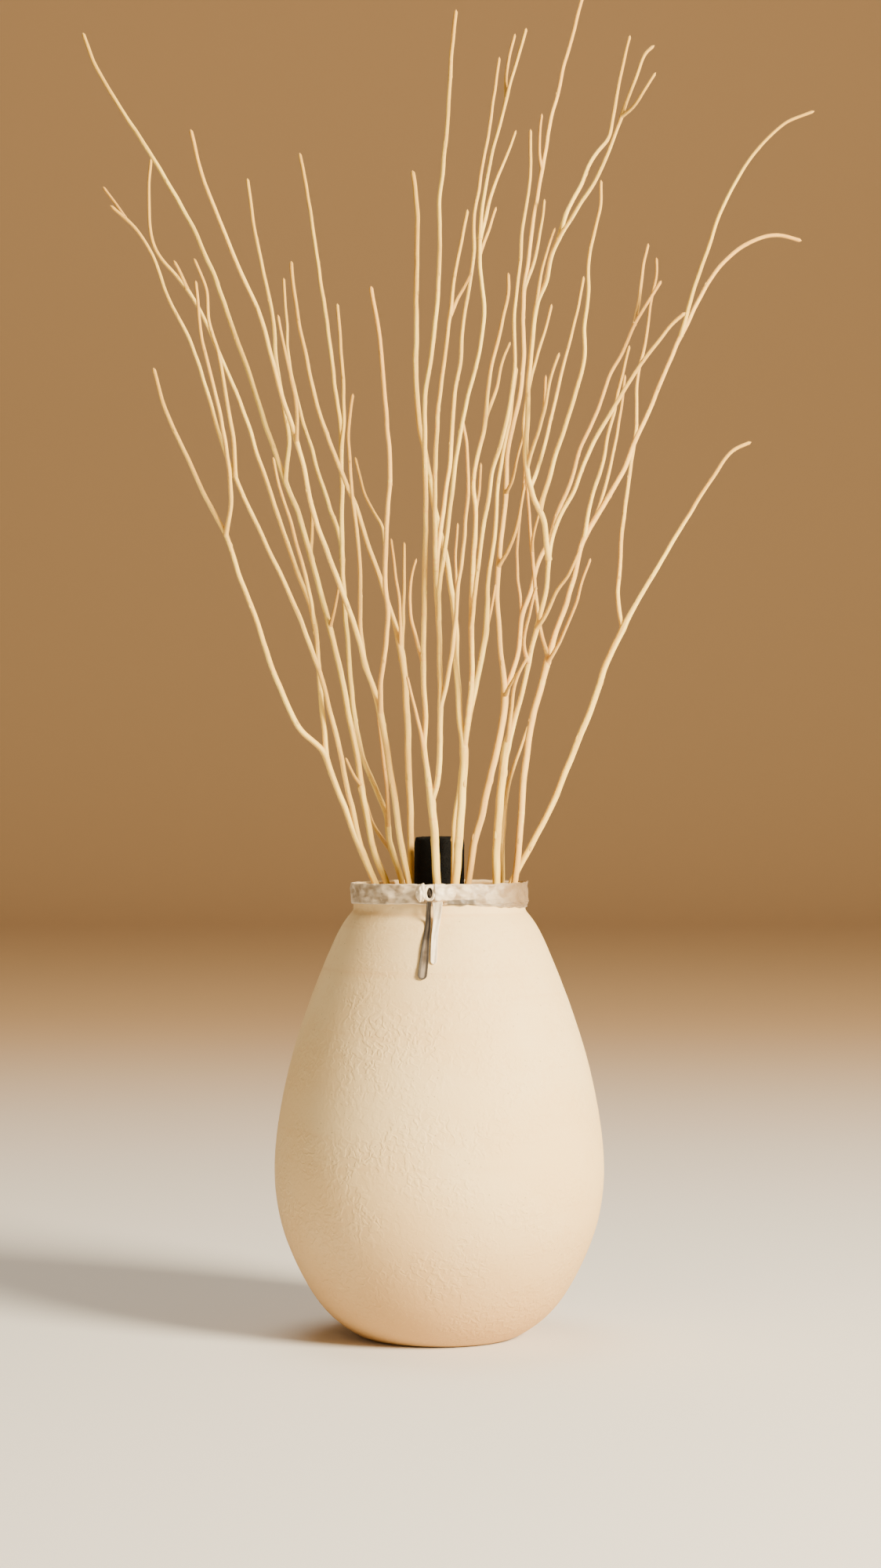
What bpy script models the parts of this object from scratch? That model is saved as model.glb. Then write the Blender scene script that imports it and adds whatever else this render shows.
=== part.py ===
"""A round clay vase with a ribbon tied round its neck, holding thirteen bare willow branches.

The frame is in metres with +Z up and +X to the right of the viewer, who looks along +Y.
The origin is the middle of the flat foot, on the surface that the vase stands on.
"""

import math

import bmesh
import bpy
from mathutils import Euler, Vector

# Vase
VASE_HEIGHT = 0.2583
FOOT_RADIUS = 0.040
FLOOR_THICKNESS = 0.008
COLLAR_RADIUS = 0.049
MOUTH_RADIUS = 0.0463
TURNING_STEPS = 48

# The outside from the collar's foot down to the standing foot, as radius and height
VASE_OUTSIDE = [
    (0.0490, 0.2430),
    (0.0517, 0.2405),
    (0.0542, 0.2370),
    (0.0571, 0.2320),
    (0.0599, 0.2260),
    (0.0634, 0.2180),
    (0.0675, 0.2080),
    (0.0722, 0.1960),
    (0.0775, 0.1810),
    (0.0829, 0.1640),
    (0.0872, 0.1470),
    (0.0908, 0.1290),
    (0.0933, 0.1110),
    (0.0942, 0.0935),
    (0.0928, 0.0765),
    (0.0892, 0.0605),
    (0.0834, 0.0455),
    (0.0764, 0.0315),
    (0.0680, 0.0185),
    (0.0575, 0.0080),
    (0.0480, 0.0020),
]

# The inside from the floor up to the mouth, as radius and height
VASE_INSIDE = [
    (0.0480, 0.0080),
    (0.0640, 0.0200),
    (0.0790, 0.0440),
    (0.0880, 0.0800),
    (0.0885, 0.1100),
    (0.0820, 0.1500),
    (0.0690, 0.1900),
    (0.0530, 0.2280),
    (0.0463, 0.2430),
]

# Ribbon: a band round the collar, a knot at the front and two short tails
TOUCH_GAP = 0.0003
BAND_LOW = 0.2455
BAND_HIGH = 0.2600
BAND_RADIUS = 0.0513
KNOT_HALF_SIZES = (0.0078, 0.0032, 0.0048)
KNOT_ACROSS = -0.0040
KNOT_HEIGHT = 0.2560
DARK_TAIL_WIDTH = 0.0042
LIGHT_TAIL_WIDTH = 0.0036
TAIL_RING_SPACING = 0.008

# Each tail's centre line from the knot down, as a place across and a height
DARK_TAIL = [
    (-0.0056, 0.2507),
    (-0.0060, 0.2460),
    (-0.0066, 0.2400),
    (-0.0073, 0.2335),
    (-0.0081, 0.2250),
    (-0.0087, 0.2170),
    (-0.0095, 0.2090),
]
LIGHT_TAIL = [
    (-0.0009, 0.2507),
    (-0.0011, 0.2460),
    (-0.0015, 0.2400),
    (-0.0022, 0.2335),
    (-0.0027, 0.2250),
    (-0.0031, 0.2173),
]

# Foam core that stands in the vase
CORE_RADIUS = 0.0145
CORE_TOP = 0.2850

# How the stems stand in the vase: each foot is its place at the mouth, turned and drawn in
FOOT_TURN = math.radians(75)
FOOT_DRAW = 0.85
FOOT_UPRIGHT = 0.008
COLLAR_PULL = 0.110
FORK_NARROWING = 0.020

# Fineness of the branches
STEM_RING_SPACING = 0.030
TWIG_RING_SPACING = 0.030
TUBE_UNIT = 0.001

# The viewer's eye and frame, which turn a place in the photograph and a depth into a real place
EYE = Vector((0.0007, -2.100, 0.364))
EYE_PITCH = math.radians(-1.34)
FRAME_CENTRE_PX = (562, 1000)
FOCAL_LENGTH_PX = 4700

# Thirteen branches. Each has its stem's depth and width at the mouth, and its routes, root first.
# A route is: its name, the route it grows from, the width at its root and at its tip, the
# depth of its tip, and its points in the photograph's pixels, chosen by hand along its middle.
# A stem keeps its width at the mouth up to its first fork, and past it narrows to its route's.
BRANCHES = {
    "branch_01": (-0.014, 0.0038, [
        ("stem", None, 0.0036, 0.0021, -0.085, [
            (477, 1122), (464, 1090), (448, 1055), (435, 1020), (423, 985), (413, 960), (385, 933),
            (356, 875), (331, 802), (305, 733), (287, 680), (262, 632), (237, 580), (210, 520),
            (195, 468)]),
        ("inner", "stem", 0.0027, 0.0017, -0.120, [
            (287, 682), (295, 645), (292, 592), (283, 540), (270, 485), (258, 430), (250, 358)]),
        ("middle", "stem", 0.0030, 0.0018, -0.030, [
            (416, 965), (412, 915), (406, 850), (399, 785), (383, 740), (365, 690), (350, 645),
            (328, 580), (302, 500), (279, 450), (256, 397), (228, 355), (199, 320), (190, 255),
            (192, 202)]),
        ("middle_fork", "middle", 0.0024, 0.0017, -0.060, [
            (400, 795), (392, 745), (382, 705), (370, 665), (357, 622), (349, 583)]),
        ("middle_spur", "middle", 0.0023, 0.0016, -0.030, [(238, 368), (229, 345), (222, 332)]),
        ("outer", "stem", 0.0030, 0.0018, -0.060, [
            (463, 1085), (448, 1030), (435, 962), (424, 922), (413, 875), (394, 818), (370, 758),
            (335, 685), (308, 625), (290, 585), (268, 515), (243, 437), (213, 377), (194, 325),
            (172, 290), (140, 262)]),
        ("outer_spur", "outer", 0.0020, 0.0016, -0.050, [(160, 279), (145, 258), (131, 238)]),
        ("outer_fork", "outer", 0.0026, 0.0017, -0.080, [
            (300, 609), (297, 560), (290, 515), (279, 450), (267, 413), (261, 362), (247, 330)]),
    ]),
    "branch_02": (0.014, 0.0037, [
        ("stem", None, 0.0036, 0.0022, 0.080, [
            (492, 1122), (480, 1095), (470, 1050), (461, 1005), (452, 945), (441, 890), (427, 828),
            (411, 765), (395, 705), (378, 650), (356, 590), (325, 500), (292, 403), (250, 300),
            (205, 217), (160, 147), (116, 72), (106, 42)]),
        ("upright", "stem", 0.0028, 0.0020, 0.020, [
            (366, 613), (368, 560), (362, 520), (354, 475), (350, 420), (343, 378), (333, 335),
            (322, 275), (315, 227)]),
        ("left_spur", "stem", 0.0022, 0.0015, 0.004, [(460, 1002), (450, 985), (441, 966)]),
        ("low_spur", "stem", 0.0025, 0.0016, 0.050, [(396, 707), (398, 668), (397, 636)]),
        ("lower_spur", "stem", 0.0022, 0.0014, 0.018, [(420, 800), (428, 772), (433, 744)]),
    ]),
    "branch_03": (0.034, 0.0034, [
        ("stem", None, 0.0032, 0.0021, 0.130, [
            (512, 1122), (504, 1098), (497, 1070), (492, 1036), (482, 1012), (463, 965), (452, 915),
            (448, 870), (443, 810), (439, 750), (436, 690), (436, 600), (434, 545), (425, 475),
            (417, 405), (404, 325), (391, 240), (383, 195)]),
        ("high_twig", "stem", 0.0024, 0.0020, 0.072, [
            (436, 572), (438, 540), (439, 510), (436, 460), (431, 387)]),
        ("long_twig", "stem", 0.0029, 0.0018, 0.160, [
            (438, 715), (433, 686), (420, 645), (404, 597), (391, 552), (377, 500), (368, 460),
            (366, 410), (362, 355)]),
        ("low_twig", "stem", 0.0026, 0.0018, 0.030, [
            (496, 1056), (495, 1030), (492, 985), (486, 940), (481, 905)]),
        ("side_twig", "stem", 0.0028, 0.0017, 0.050, [
            (500, 1087), (488, 1070), (475, 1047), (467, 1022)]),
    ]),
    "branch_04": (-0.030, 0.0036, [
        ("stem", None, 0.0034, 0.0021, -0.080, [
            (520, 1122), (515, 1095), (507, 1045), (499, 985), (490, 938), (481, 898), (470, 858),
            (456, 808), (433, 747), (415, 700), (400, 655), (386, 590), (373, 545), (358, 500),
            (346, 455), (332, 405), (308, 350), (285, 293), (260, 232), (248, 185), (243, 165)]),
        ("right_twig", "stem", 0.0029, 0.0023, -0.130, [
            (484, 912), (485, 880), (492, 825), (494, 795), (491, 730), (494, 650), (497, 600),
            (494, 540), (486, 455), (479, 400), (474, 365)]),
        ("middle_twig", "stem", 0.0026, 0.0019, -0.020, [
            (466, 845), (460, 800), (458, 720), (452, 655), (447, 600), (444, 555), (448, 520),
            (451, 502)]),
        ("faint_twig", "right_twig", 0.0019, 0.0015, -0.055, [
            (493, 705), (487, 672), (475, 650), (463, 625), (453, 583)]),
        ("left_twig", "stem", 0.0022, 0.0016, -0.100, [
            (382, 562), (379, 530), (375, 500), (368, 465), (360, 432), (355, 402)]),
    ]),
    "branch_05": (0.022, 0.0038, [
        ("stem", None, 0.0035, 0.0022, 0.055, [
            (526, 1122), (525, 1090), (522, 1000), (519, 905), (514, 840), (493, 765), (472, 703),
            (446, 625), (432, 592), (416, 550), (401, 500), (384, 425), (376, 375), (372, 333)]),
        ("right_twig", "stem", 0.0024, 0.0017, 0.060, [(513, 835), (514, 790), (516, 750), (516, 692)]),
        ("left_twig", "stem", 0.0022, 0.0016, 0.020, [(511, 828), (509, 765), (502, 712), (499, 687)]),
    ]),
    "branch_06": (-0.041, 0.0045, [
        ("stem", None, 0.0032, 0.0021, -0.140, [
            (557, 1122), (556, 1090), (551, 1025), (546, 990), (541, 952), (543, 920), (540, 865),
            (539, 825), (542, 740), (543, 622), (542, 570), (543, 500), (549, 460), (556, 400),
            (560, 340), (560, 270), (566, 200), (572, 130), (576, 70), (582, 12)]),
        ("thin_twig", "stem", 0.0024, 0.0015, -0.062, [(542, 960), (536, 930), (527, 893), (519, 862)]),
        ("hook_twig", "stem", 0.0024, 0.0015, -0.040, [
            (539, 850), (532, 822), (524, 790), (525, 742), (532, 713)]),
        ("right_stem", "stem", 0.0032, 0.0019, -0.090, [
            (551, 1022), (558, 1000), (560, 975), (562, 905), (560, 830), (557, 750), (555, 622),
            (558, 540), (563, 490), (572, 415), (582, 340), (596, 268)]),
        ("bent_twig", "right_stem", 0.0026, 0.0018, -0.095, [
            (562, 902), (571, 865), (580, 795), (584, 755), (593, 670), (597, 620), (595, 570),
            (590, 535)]),
        ("tall_twig", "right_stem", 0.0027, 0.0018, -0.060, [
            (557, 730), (560, 690), (567, 645), (573, 600), (577, 550), (580, 500), (587, 465),
            (589, 425), (598, 370), (605, 320), (606, 270), (615, 210), (626, 150), (637, 73)]),
        ("tallest_twig", "right_stem", 0.0027, 0.0018, -0.150, [
            (560, 790), (561, 750), (565, 715), (570, 675), (577, 622), (582, 580), (592, 530),
            (603, 483), (613, 443), (617, 390), (612, 335), (613, 280), (624, 215), (641, 145),
            (656, 85), (672, 35)]),
        ("leaning_spur", "tallest_twig", 0.0025, 0.0016, -0.125, [
            (613, 305), (620, 272), (630, 238), (642, 207), (659, 165)]),
        ("short_spur", "tallest_twig", 0.0020, 0.0016, -0.120, [
            (612, 326), (617, 310), (626, 285), (634, 262)]),
        ("top_spur", "tallest_twig", 0.0019, 0.0016, -0.140, [
            (645, 128), (645, 92), (652, 60), (657, 42)]),
        ("cross_spur", "right_stem", 0.0023, 0.0016, -0.080, [
            (576, 404), (584, 380), (592, 367), (602, 347)]),
        ("faint_spur", "bent_twig", 0.0016, 0.0014, -0.070, [(583, 760), (581, 715), (584, 668)]),
    ]),
    "branch_07": (-0.039, 0.0046, [
        ("stem", None, 0.0038, 0.0026, -0.020, [
            (581, 1122), (584, 1095), (588, 1040), (590, 1000), (592, 965), (587, 915), (582, 845),
            (580, 780), (573, 733), (564, 690), (552, 640), (547, 605), (540, 570), (533, 525),
            (531, 480), (531, 380), (532, 270), (531, 245), (526, 217)]),
        ("right_twig", "stem", 0.0032, 0.0020, -0.060, [
            (592, 957), (596, 925), (602, 860), (602, 760), (606, 650), (604, 622), (609, 583),
            (618, 545), (622, 500), (630, 455), (640, 410), (648, 370), (647, 348)]),
        ("tall_twig", "right_twig", 0.0026, 0.0018, -0.110, [
            (603, 800), (607, 745), (611, 710), (622, 640), (630, 595), (640, 560), (650, 515),
            (657, 460), (656, 400), (662, 345), (668, 280), (675, 235), (676, 165)]),
        ("short_spur", "right_twig", 0.0022, 0.0016, -0.040, [
            (622, 533), (632, 500), (640, 462), (650, 436)]),
        ("parallel_twig", "right_twig", 0.0021, 0.0016, -0.030, [
            (602, 690), (608, 655), (611, 625), (613, 590)]),
    ]),
    "branch_08": (-0.025, 0.0034, [
        ("stem", None, 0.0034, 0.0021, 0.030, [
            (579, 1122), (580, 1070), (582, 1040), (587, 1000), (592, 960), (597, 925), (603, 893),
            (612, 855), (620, 800), (623, 742), (633, 665), (635, 620), (641, 580), (649, 540),
            (655, 500), (659, 468)]),
        ("spur", "stem", 0.0020, 0.0014, 0.022, [(622, 805), (628, 775), (632, 745)]),
    ]),
    "branch_09": (0.034, 0.0041, [
        ("stem", None, 0.0034, 0.0022, 0.120, [
            (597, 1122), (604, 1083), (614, 1040), (622, 1003), (632, 970), (640, 925), (643, 898),
            (643, 870), (638, 825), (635, 735), (640, 675), (646, 622), (647, 580), (655, 540),
            (664, 500), (668, 455), (667, 400), (671, 350), (680, 285), (691, 220), (701, 160),
            (717, 95), (733, 32), (747, -18)]),
        ("high_spur", "stem", 0.0023, 0.0017, 0.090, [
            (671, 370), (680, 335), (687, 305), (694, 270), (695, 254)]),
        ("higher_spur", "stem", 0.0020, 0.0016, 0.094, [(692, 216), (688, 196), (688, 170), (691, 144)]),
        ("low_spur", "stem", 0.0025, 0.0016, 0.035, [
            (637, 725), (648, 702), (656, 684), (664, 655), (670, 615)]),
        ("inner_spur", "stem", 0.0021, 0.0015, 0.034, [(647, 630), (654, 611), (660, 585), (668, 555)]),
        ("lowest_spur", "stem", 0.0022, 0.0015, 0.026, [(645, 888), (652, 870), (661, 857)]),
        ("right_stem", "stem", 0.0029, 0.0020, 0.080, [
            (644, 893), (650, 870), (660, 835), (666, 788), (677, 752), (688, 716), (702, 685),
            (711, 652), (726, 620), (742, 568), (765, 515), (780, 475), (796, 445), (810, 412),
            (825, 388), (844, 358)]),
        ("right_spur", "right_stem", 0.0024, 0.0018, 0.100, [
            (809, 414), (817, 375), (821, 340), (827, 310)]),
        ("thin_twig", "right_stem", 0.0020, 0.0015, 0.085, [
            (667, 787), (662, 750), (660, 700), (663, 660), (667, 620), (669, 585)]),
    ]),
    "branch_10": (-0.022, 0.0046, [
        ("stem", None, 0.0032, 0.0021, -0.040, [
            (633, 1122), (634, 1060), (640, 1000), (647, 950), (657, 915), (668, 875), (677, 832),
            (688, 790), (698, 745), (702, 705), (708, 675), (718, 652), (732, 625), (745, 590),
            (770, 542), (790, 510), (803, 487), (818, 463), (835, 440), (855, 415), (874, 399)]),
        ("left_stem", "stem", 0.0032, 0.0018, -0.130, [
            (701, 713), (693, 662), (680, 632), (672, 600), (672, 560), (674, 520), (675, 480),
            (680, 430), (686, 385), (697, 358), (705, 325), (715, 302), (737, 265), (763, 222),
            (774, 198), (788, 160), (799, 130), (812, 97), (826, 66), (835, 58)]),
        ("crossing_twig", "left_stem", 0.0025, 0.0017, -0.085, [
            (713, 306), (725, 268), (740, 238), (752, 210), (764, 192), (776, 178), (782, 155),
            (787, 120), (795, 80), (804, 45)]),
        ("top_spur", "left_stem", 0.0020, 0.0016, -0.140, [
            (793, 149), (806, 138), (822, 115), (836, 92)]),
        ("thin_spur", "left_stem", 0.0020, 0.0015, -0.110, [
            (685, 394), (688, 360), (693, 340), (699, 320), (709, 290)]),
        ("right_twig", "left_stem", 0.0027, 0.0018, -0.090, [
            (688, 653), (697, 622), (708, 580), (721, 543), (734, 502), (745, 455), (745, 420),
            (751, 370), (751, 340), (757, 300), (766, 260), (767, 230)]),
        ("middle_twig", "left_stem", 0.0023, 0.0017, -0.035, [
            (676, 622), (683, 605), (694, 572), (704, 530), (714, 485), (724, 445), (736, 398),
            (744, 352)]),
        ("short_twig", "left_stem", 0.0021, 0.0017, -0.090, [
            (672, 598), (684, 560), (695, 520), (706, 472), (714, 450)]),
        ("second_strand", "left_stem", 0.0024, 0.0017, -0.045, [
            (672, 578), (669, 540), (673, 500), (685, 455), (695, 420), (704, 387)]),
        ("low_twig", "stem", 0.0026, 0.0016, -0.050, [
            (685, 802), (697, 782), (710, 755), (725, 732), (740, 702)]),
        ("tiny_twig", "short_twig", 0.0017, 0.0015, -0.080, [(694, 524), (696, 502), (697, 478)]),
        ("left_twig", "stem", 0.0024, 0.0015, -0.050, [
            (674, 846), (669, 822), (672, 795), (678, 770), (685, 748)]),
        ("left_strand", "stem", 0.0026, 0.0018, -0.038, [
            (647, 952), (652, 910), (655, 880), (662, 858), (673, 838)]),
    ]),
    "branch_11": (0.003, 0.0033, [
        ("stem", None, 0.0034, 0.0016, 0.016, [
            (640, 1122), (640, 1090), (643, 1045), (647, 1005), (656, 975), (664, 955), (674, 926)]),
    ]),
    "branch_12": (-0.006, 0.0038, [
        ("stem", None, 0.0035, 0.0022, 0.070, [
            (656, 1122), (661, 1090), (664, 1045), (669, 980), (678, 925), (689, 880), (698, 845),
            (708, 808), (720, 778), (731, 742), (742, 697), (757, 667), (777, 632), (795, 600),
            (811, 560), (833, 512), (848, 475), (863, 440), (878, 412), (890, 385), (905, 358),
            (925, 333), (955, 310), (990, 300), (1022, 308)]),
        ("high_fork", "stem", 0.0027, 0.0017, 0.020, [
            (869, 430), (878, 395), (888, 362), (903, 318), (918, 275), (940, 228), (972, 184),
            (1005, 155), (1038, 142)]),
        ("left_twig", "stem", 0.0025, 0.0018, 0.020, [
            (748, 688), (755, 635), (768, 595), (776, 555), (784, 525), (794, 475), (803, 440)]),
        ("middle_twig", "stem", 0.0023, 0.0017, 0.045, [
            (761, 662), (771, 625), (780, 585), (790, 535), (798, 478)]),
        ("low_twig", "stem", 0.0024, 0.0016, -0.015, [
            (700, 848), (710, 825), (722, 798), (735, 770), (743, 740), (753, 711)]),
        ("inner_twig", "stem", 0.0024, 0.0017, 0.012, [
            (700, 842), (690, 805), (684, 760), (680, 710), (675, 655), (671, 605)]),
        ("inner_fork", "inner_twig", 0.0019, 0.0015, -0.004, [(681, 702), (682, 680), (687, 655)]),
    ]),
    "branch_13": (0.008, 0.0036, [
        ("stem", None, 0.0034, 0.0021, 0.060, [
            (655, 1122), (668, 1097), (683, 1066), (704, 1026), (723, 980), (742, 935), (765, 871),
            (781, 828), (795, 798), (821, 754), (857, 693), (885, 645), (911, 607), (935, 575),
            (959, 564)]),
        ("upright", "stem", 0.0027, 0.0018, 0.120, [
            (793, 802), (788, 755), (791, 715), (793, 680), (801, 620), (808, 572), (812, 540),
            (814, 475), (824, 430), (829, 390), (837, 345), (837, 328)]),
    ]),
}


def clear_scene():
    for leftover in list(bpy.data.objects):
        bpy.data.objects.remove(leftover, do_unlink=True)


def make_material(name, colour, roughness, metallic=0.0):
    material = bpy.data.materials.new(name)
    material.use_nodes = True
    shader = material.node_tree.nodes["Principled BSDF"]
    shader.inputs["Base Color"].default_value = (*colour, 1.0)
    shader.inputs["Roughness"].default_value = roughness
    shader.inputs["Metallic"].default_value = metallic
    material.diffuse_color = (*colour, 1.0)
    return material


def new_object(name, data, collection):
    item = bpy.data.objects.new(name, data)
    collection.objects.link(item)
    return item


def turned(name, profile, closed, material, collection):
    """Turn a profile at +X about the Z axis. The profile runs down its outer side."""
    mesh = bpy.data.meshes.new(name)
    last = len(profile) - 1
    edges = [(i, i + 1) for i in range(last)]
    if closed:
        edges.append((last, 0))
    mesh.from_pydata([(radius, 0.0, height) for radius, height in profile], edges, [])
    mesh.materials.append(material)
    item = new_object(name, mesh, collection)
    screw = item.modifiers.new("turning", "SCREW")
    screw.steps = TURNING_STEPS
    screw.render_steps = TURNING_STEPS
    screw.use_merge_vertices = True
    screw.merge_threshold = 0.0001
    screw.use_smooth_shade = True
    return item


def vase_profile():
    lip = 0.0008
    collar = [
        (MOUTH_RADIUS, VASE_HEIGHT - lip),
        (MOUTH_RADIUS + lip, VASE_HEIGHT),
        (COLLAR_RADIUS - lip, VASE_HEIGHT),
        (COLLAR_RADIUS, VASE_HEIGHT - lip),
    ]
    floor_middle = [(0.0, FLOOR_THICKNESS)]
    foot = [(FOOT_RADIUS, 0.0), (0.0, 0.0)]
    return floor_middle + VASE_INSIDE + collar + VASE_OUTSIDE + foot


def outside_radius(height):
    """The vase's outer radius at a height, between the points of its outside."""
    for (high_radius, high), (low_radius, low) in zip(VASE_OUTSIDE, VASE_OUTSIDE[1:]):
        if high >= height >= low:
            share = (high - height) / (high - low)
            return high_radius + (low_radius - high_radius) * share
    return COLLAR_RADIUS


def build_vase(collection):
    clay = make_material("clay", (0.80, 0.68, 0.50), 0.62)
    return turned("vase", vase_profile(), False, clay, collection)


def build_band(ribbon, collection):
    inner = COLLAR_RADIUS + TOUCH_GAP
    edge = 0.0008
    profile = [
        (inner, BAND_HIGH),
        (BAND_RADIUS - edge, BAND_HIGH),
        (BAND_RADIUS, BAND_HIGH - 3 * edge),
        (BAND_RADIUS, BAND_LOW + 3 * edge),
        (BAND_RADIUS - edge, BAND_LOW),
        (inner, BAND_LOW),
    ]
    return turned("neck_band", profile, True, ribbon, collection)


def knot_depth():
    return -(BAND_RADIUS + TOUCH_GAP + KNOT_HALF_SIZES[1])


def build_knot(ribbon, collection):
    mesh = bpy.data.meshes.new("ribbon_knot")
    shape = bmesh.new()
    bmesh.ops.create_uvsphere(shape, u_segments=16, v_segments=9, radius=1.0)
    bmesh.ops.scale(shape, vec=KNOT_HALF_SIZES, verts=shape.verts)
    shape.to_mesh(mesh)
    shape.free()
    mesh.shade_smooth()
    mesh.materials.append(ribbon)
    knot = new_object("ribbon_knot", mesh, collection)
    knot.location = (KNOT_ACROSS, knot_depth(), KNOT_HEIGHT)
    return knot


def tail_route(points, width):
    """A tail hangs from the knot and lies on the vase's shoulder."""
    route = []
    for across, height in points:
        resting = outside_radius(height) + width / 2 + 2.5 * TOUCH_GAP
        reach = math.sqrt(resting ** 2 - across ** 2)
        route.append(Vector((across, min(-reach, knot_depth()), height)))
    return smooth_route(route, TAIL_RING_SPACING)


def build_tail(name, points, width, ribbon, collection):
    route = tail_route(points, width)
    radii = [width / 2] * len(route)
    return tube(name, route, radii, 2, ribbon, collection)


def build_core(collection):
    foam = make_material("foam", (0.012, 0.012, 0.012), 0.9)
    base = FLOOR_THICKNESS + TOUCH_GAP
    mesh = bpy.data.meshes.new("foam_core")
    shape = bmesh.new()
    bmesh.ops.create_cone(
        shape, cap_ends=True, segments=24, radius1=CORE_RADIUS, radius2=CORE_RADIUS, depth=CORE_TOP - base)
    shape.to_mesh(mesh)
    shape.free()
    mesh.shade_smooth()
    mesh.set_sharp_from_angle(angle=math.radians(40))
    mesh.materials.append(foam)
    core = new_object("foam_core", mesh, collection)
    core.location = (0.0, 0.0, (CORE_TOP + base) / 2)
    return core


def smooth_between(before, start, end, after, share):
    """A point on the smooth curve from start to end that heeds its two neighbours."""
    pull_in = (end - before) / 2
    pull_out = (after - start) / 2
    square = share * share
    cube = square * share
    return (
        start * (2 * cube - 3 * square + 1)
        + pull_in * (cube - 2 * square + share)
        + end * (3 * square - 2 * cube)
        + pull_out * (cube - square)
    )


def smooth_route(points, spacing):
    """A smooth curve through hand-chosen points, with about one point for each spacing."""
    padded = [points[0] * 2 - points[1]] + points + [points[-1] * 2 - points[-2]]
    route = [points[0]]
    for before, start, end, after in zip(padded, padded[1:], padded[2:], padded[3:]):
        pieces = max(1, round((end - start).length / spacing))
        for piece in range(1, pieces + 1):
            route.append(smooth_between(before, start, end, after, piece / pieces))
    return route


def sighted(place):
    """The real place of what is seen at a pixel, at a depth behind the vase's axis."""
    across_px, down_px, depth = place
    ray = Vector((across_px - FRAME_CENTRE_PX[0], FOCAL_LENGTH_PX, FRAME_CENTRE_PX[1] - down_px))
    ray.rotate(Euler((EYE_PITCH, 0.0, 0.0)))
    return EYE + ray * ((depth - EYE.y) / ray.y)


def travelled(points):
    """How far along its length each point lies, from 0 at the root to 1 at the tip."""
    lengths = [0.0]
    for start, end in zip(points, points[1:]):
        lengths.append(lengths[-1] + math.dist(start, end))
    return [length / lengths[-1] for length in lengths]


def stem_places(points, mouth_depth, tip_depth):
    """A stem bends away in depth more and more towards its tip."""
    shares = travelled(points)
    swing = tip_depth - mouth_depth
    return [Vector((px, py, mouth_depth + swing * share ** 1.25)) for (px, py), share in zip(points, shares)]


def twig_places(points, parent_places, tip_depth):
    """A twig starts on its parent's middle line and turns away in depth soonest at its root."""
    root = min(parent_places, key=lambda place: math.dist(place[:2], points[0]))
    shares = travelled(points)
    swing = tip_depth - root.z
    places = [root.copy()]
    for (px, py), share in zip(points[1:], shares[1:]):
        places.append(Vector((px, py, root.z + swing * math.sin(share * math.pi / 2))))
    return places


def in_pixels(spacing):
    return spacing * FOCAL_LENGTH_PX / -EYE.y


def depth_in_pixels(places):
    """Depth is stretched to the pixels' measure, so that a route is smoothed evenly."""
    return [Vector((place.x, place.y, in_pixels(place.z))) for place in places]


def depth_in_metres(places):
    return [Vector((place.x, place.y, place.z / in_pixels(1.0))) for place in places]


def smooth_places(places, spacing):
    return depth_in_metres(smooth_route(depth_in_pixels(places), in_pixels(spacing)))


def stem_in_vase(mouth, above):
    """The hidden stretch of a stem, from its foot on the vase's floor up to the mouth."""
    turn = Euler((0.0, 0.0, FOOT_TURN))
    foot = Vector((mouth.x, mouth.y, 0.0)) * FOOT_DRAW
    foot.rotate(turn)
    foot.z = FLOOR_THICKNESS + TOUCH_GAP
    upright = foot + Vector((0.0, 0.0, FOOT_UPRIGHT))
    lean = (above - mouth).normalized()
    before = upright - (mouth - upright)
    after = upright + lean * 2 * COLLAR_PULL
    pieces = 7
    stretch = [smooth_between(before, upright, mouth, after, piece / pieces) for piece in range(pieces)]
    return [foot] + stretch


def tube(name, route, radii, bevel_resolution, material, collection):
    """A closed round tube along a route, with a radius for each of its points."""
    curve = bpy.data.curves.new(name, "CURVE")
    curve.dimensions = "3D"
    curve.bevel_depth = TUBE_UNIT
    curve.bevel_resolution = bevel_resolution
    curve.use_fill_caps = True
    spline = curve.splines.new("POLY")
    spline.points.add(len(route) - 1)
    for point, place, radius in zip(spline.points, route, radii):
        point.co = (*place, 1.0)
        point.radius = radius / TUBE_UNIT
    bent = new_object(name, curve, collection)
    mesh = mesh_of(bent, name)
    bpy.data.objects.remove(bent, do_unlink=True)
    bpy.data.curves.remove(curve)
    weld(mesh)
    mesh.shade_smooth()
    mesh.materials.clear()
    mesh.materials.append(material)
    return new_object(name, mesh, collection)


def mesh_of(item, name):
    bpy.context.view_layer.update()
    evaluated = item.evaluated_get(bpy.context.evaluated_depsgraph_get())
    mesh = bpy.data.meshes.new_from_object(evaluated)
    mesh.name = name
    return mesh


def weld(mesh):
    shape = bmesh.new()
    shape.from_mesh(mesh)
    bmesh.ops.remove_doubles(shape, verts=shape.verts, dist=0.00001)
    shape.to_mesh(mesh)
    shape.free()


def tapered(route, root_width, tip_width):
    """Radii along a route, tapering evenly from its root to its tip."""
    return [(root_width + (tip_width - root_width) * share) / 2 for share in travelled(route)]


def stem_radii(hidden, above, mouth_width, root_width, tip_width, first_fork):
    """A stem is as wide as at the mouth up to its first fork, and then narrows and tapers."""
    radii = [mouth_width / 2] * len(hidden)
    fork_number = min(range(len(above)), key=lambda i: (above[i] - first_fork).length)
    way = -sum(math.dist(start, end) for start, end in zip(above[:fork_number], above[1:fork_number + 1]))
    for number, arm_radius in enumerate(tapered(above, root_width, tip_width)):
        if number:
            way += math.dist(above[number - 1], above[number])
        narrowed = min(1.0, max(0.0, way / FORK_NARROWING))
        radii.append(mouth_width / 2 * (1 - narrowed) + arm_radius * narrowed)
    return radii


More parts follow.
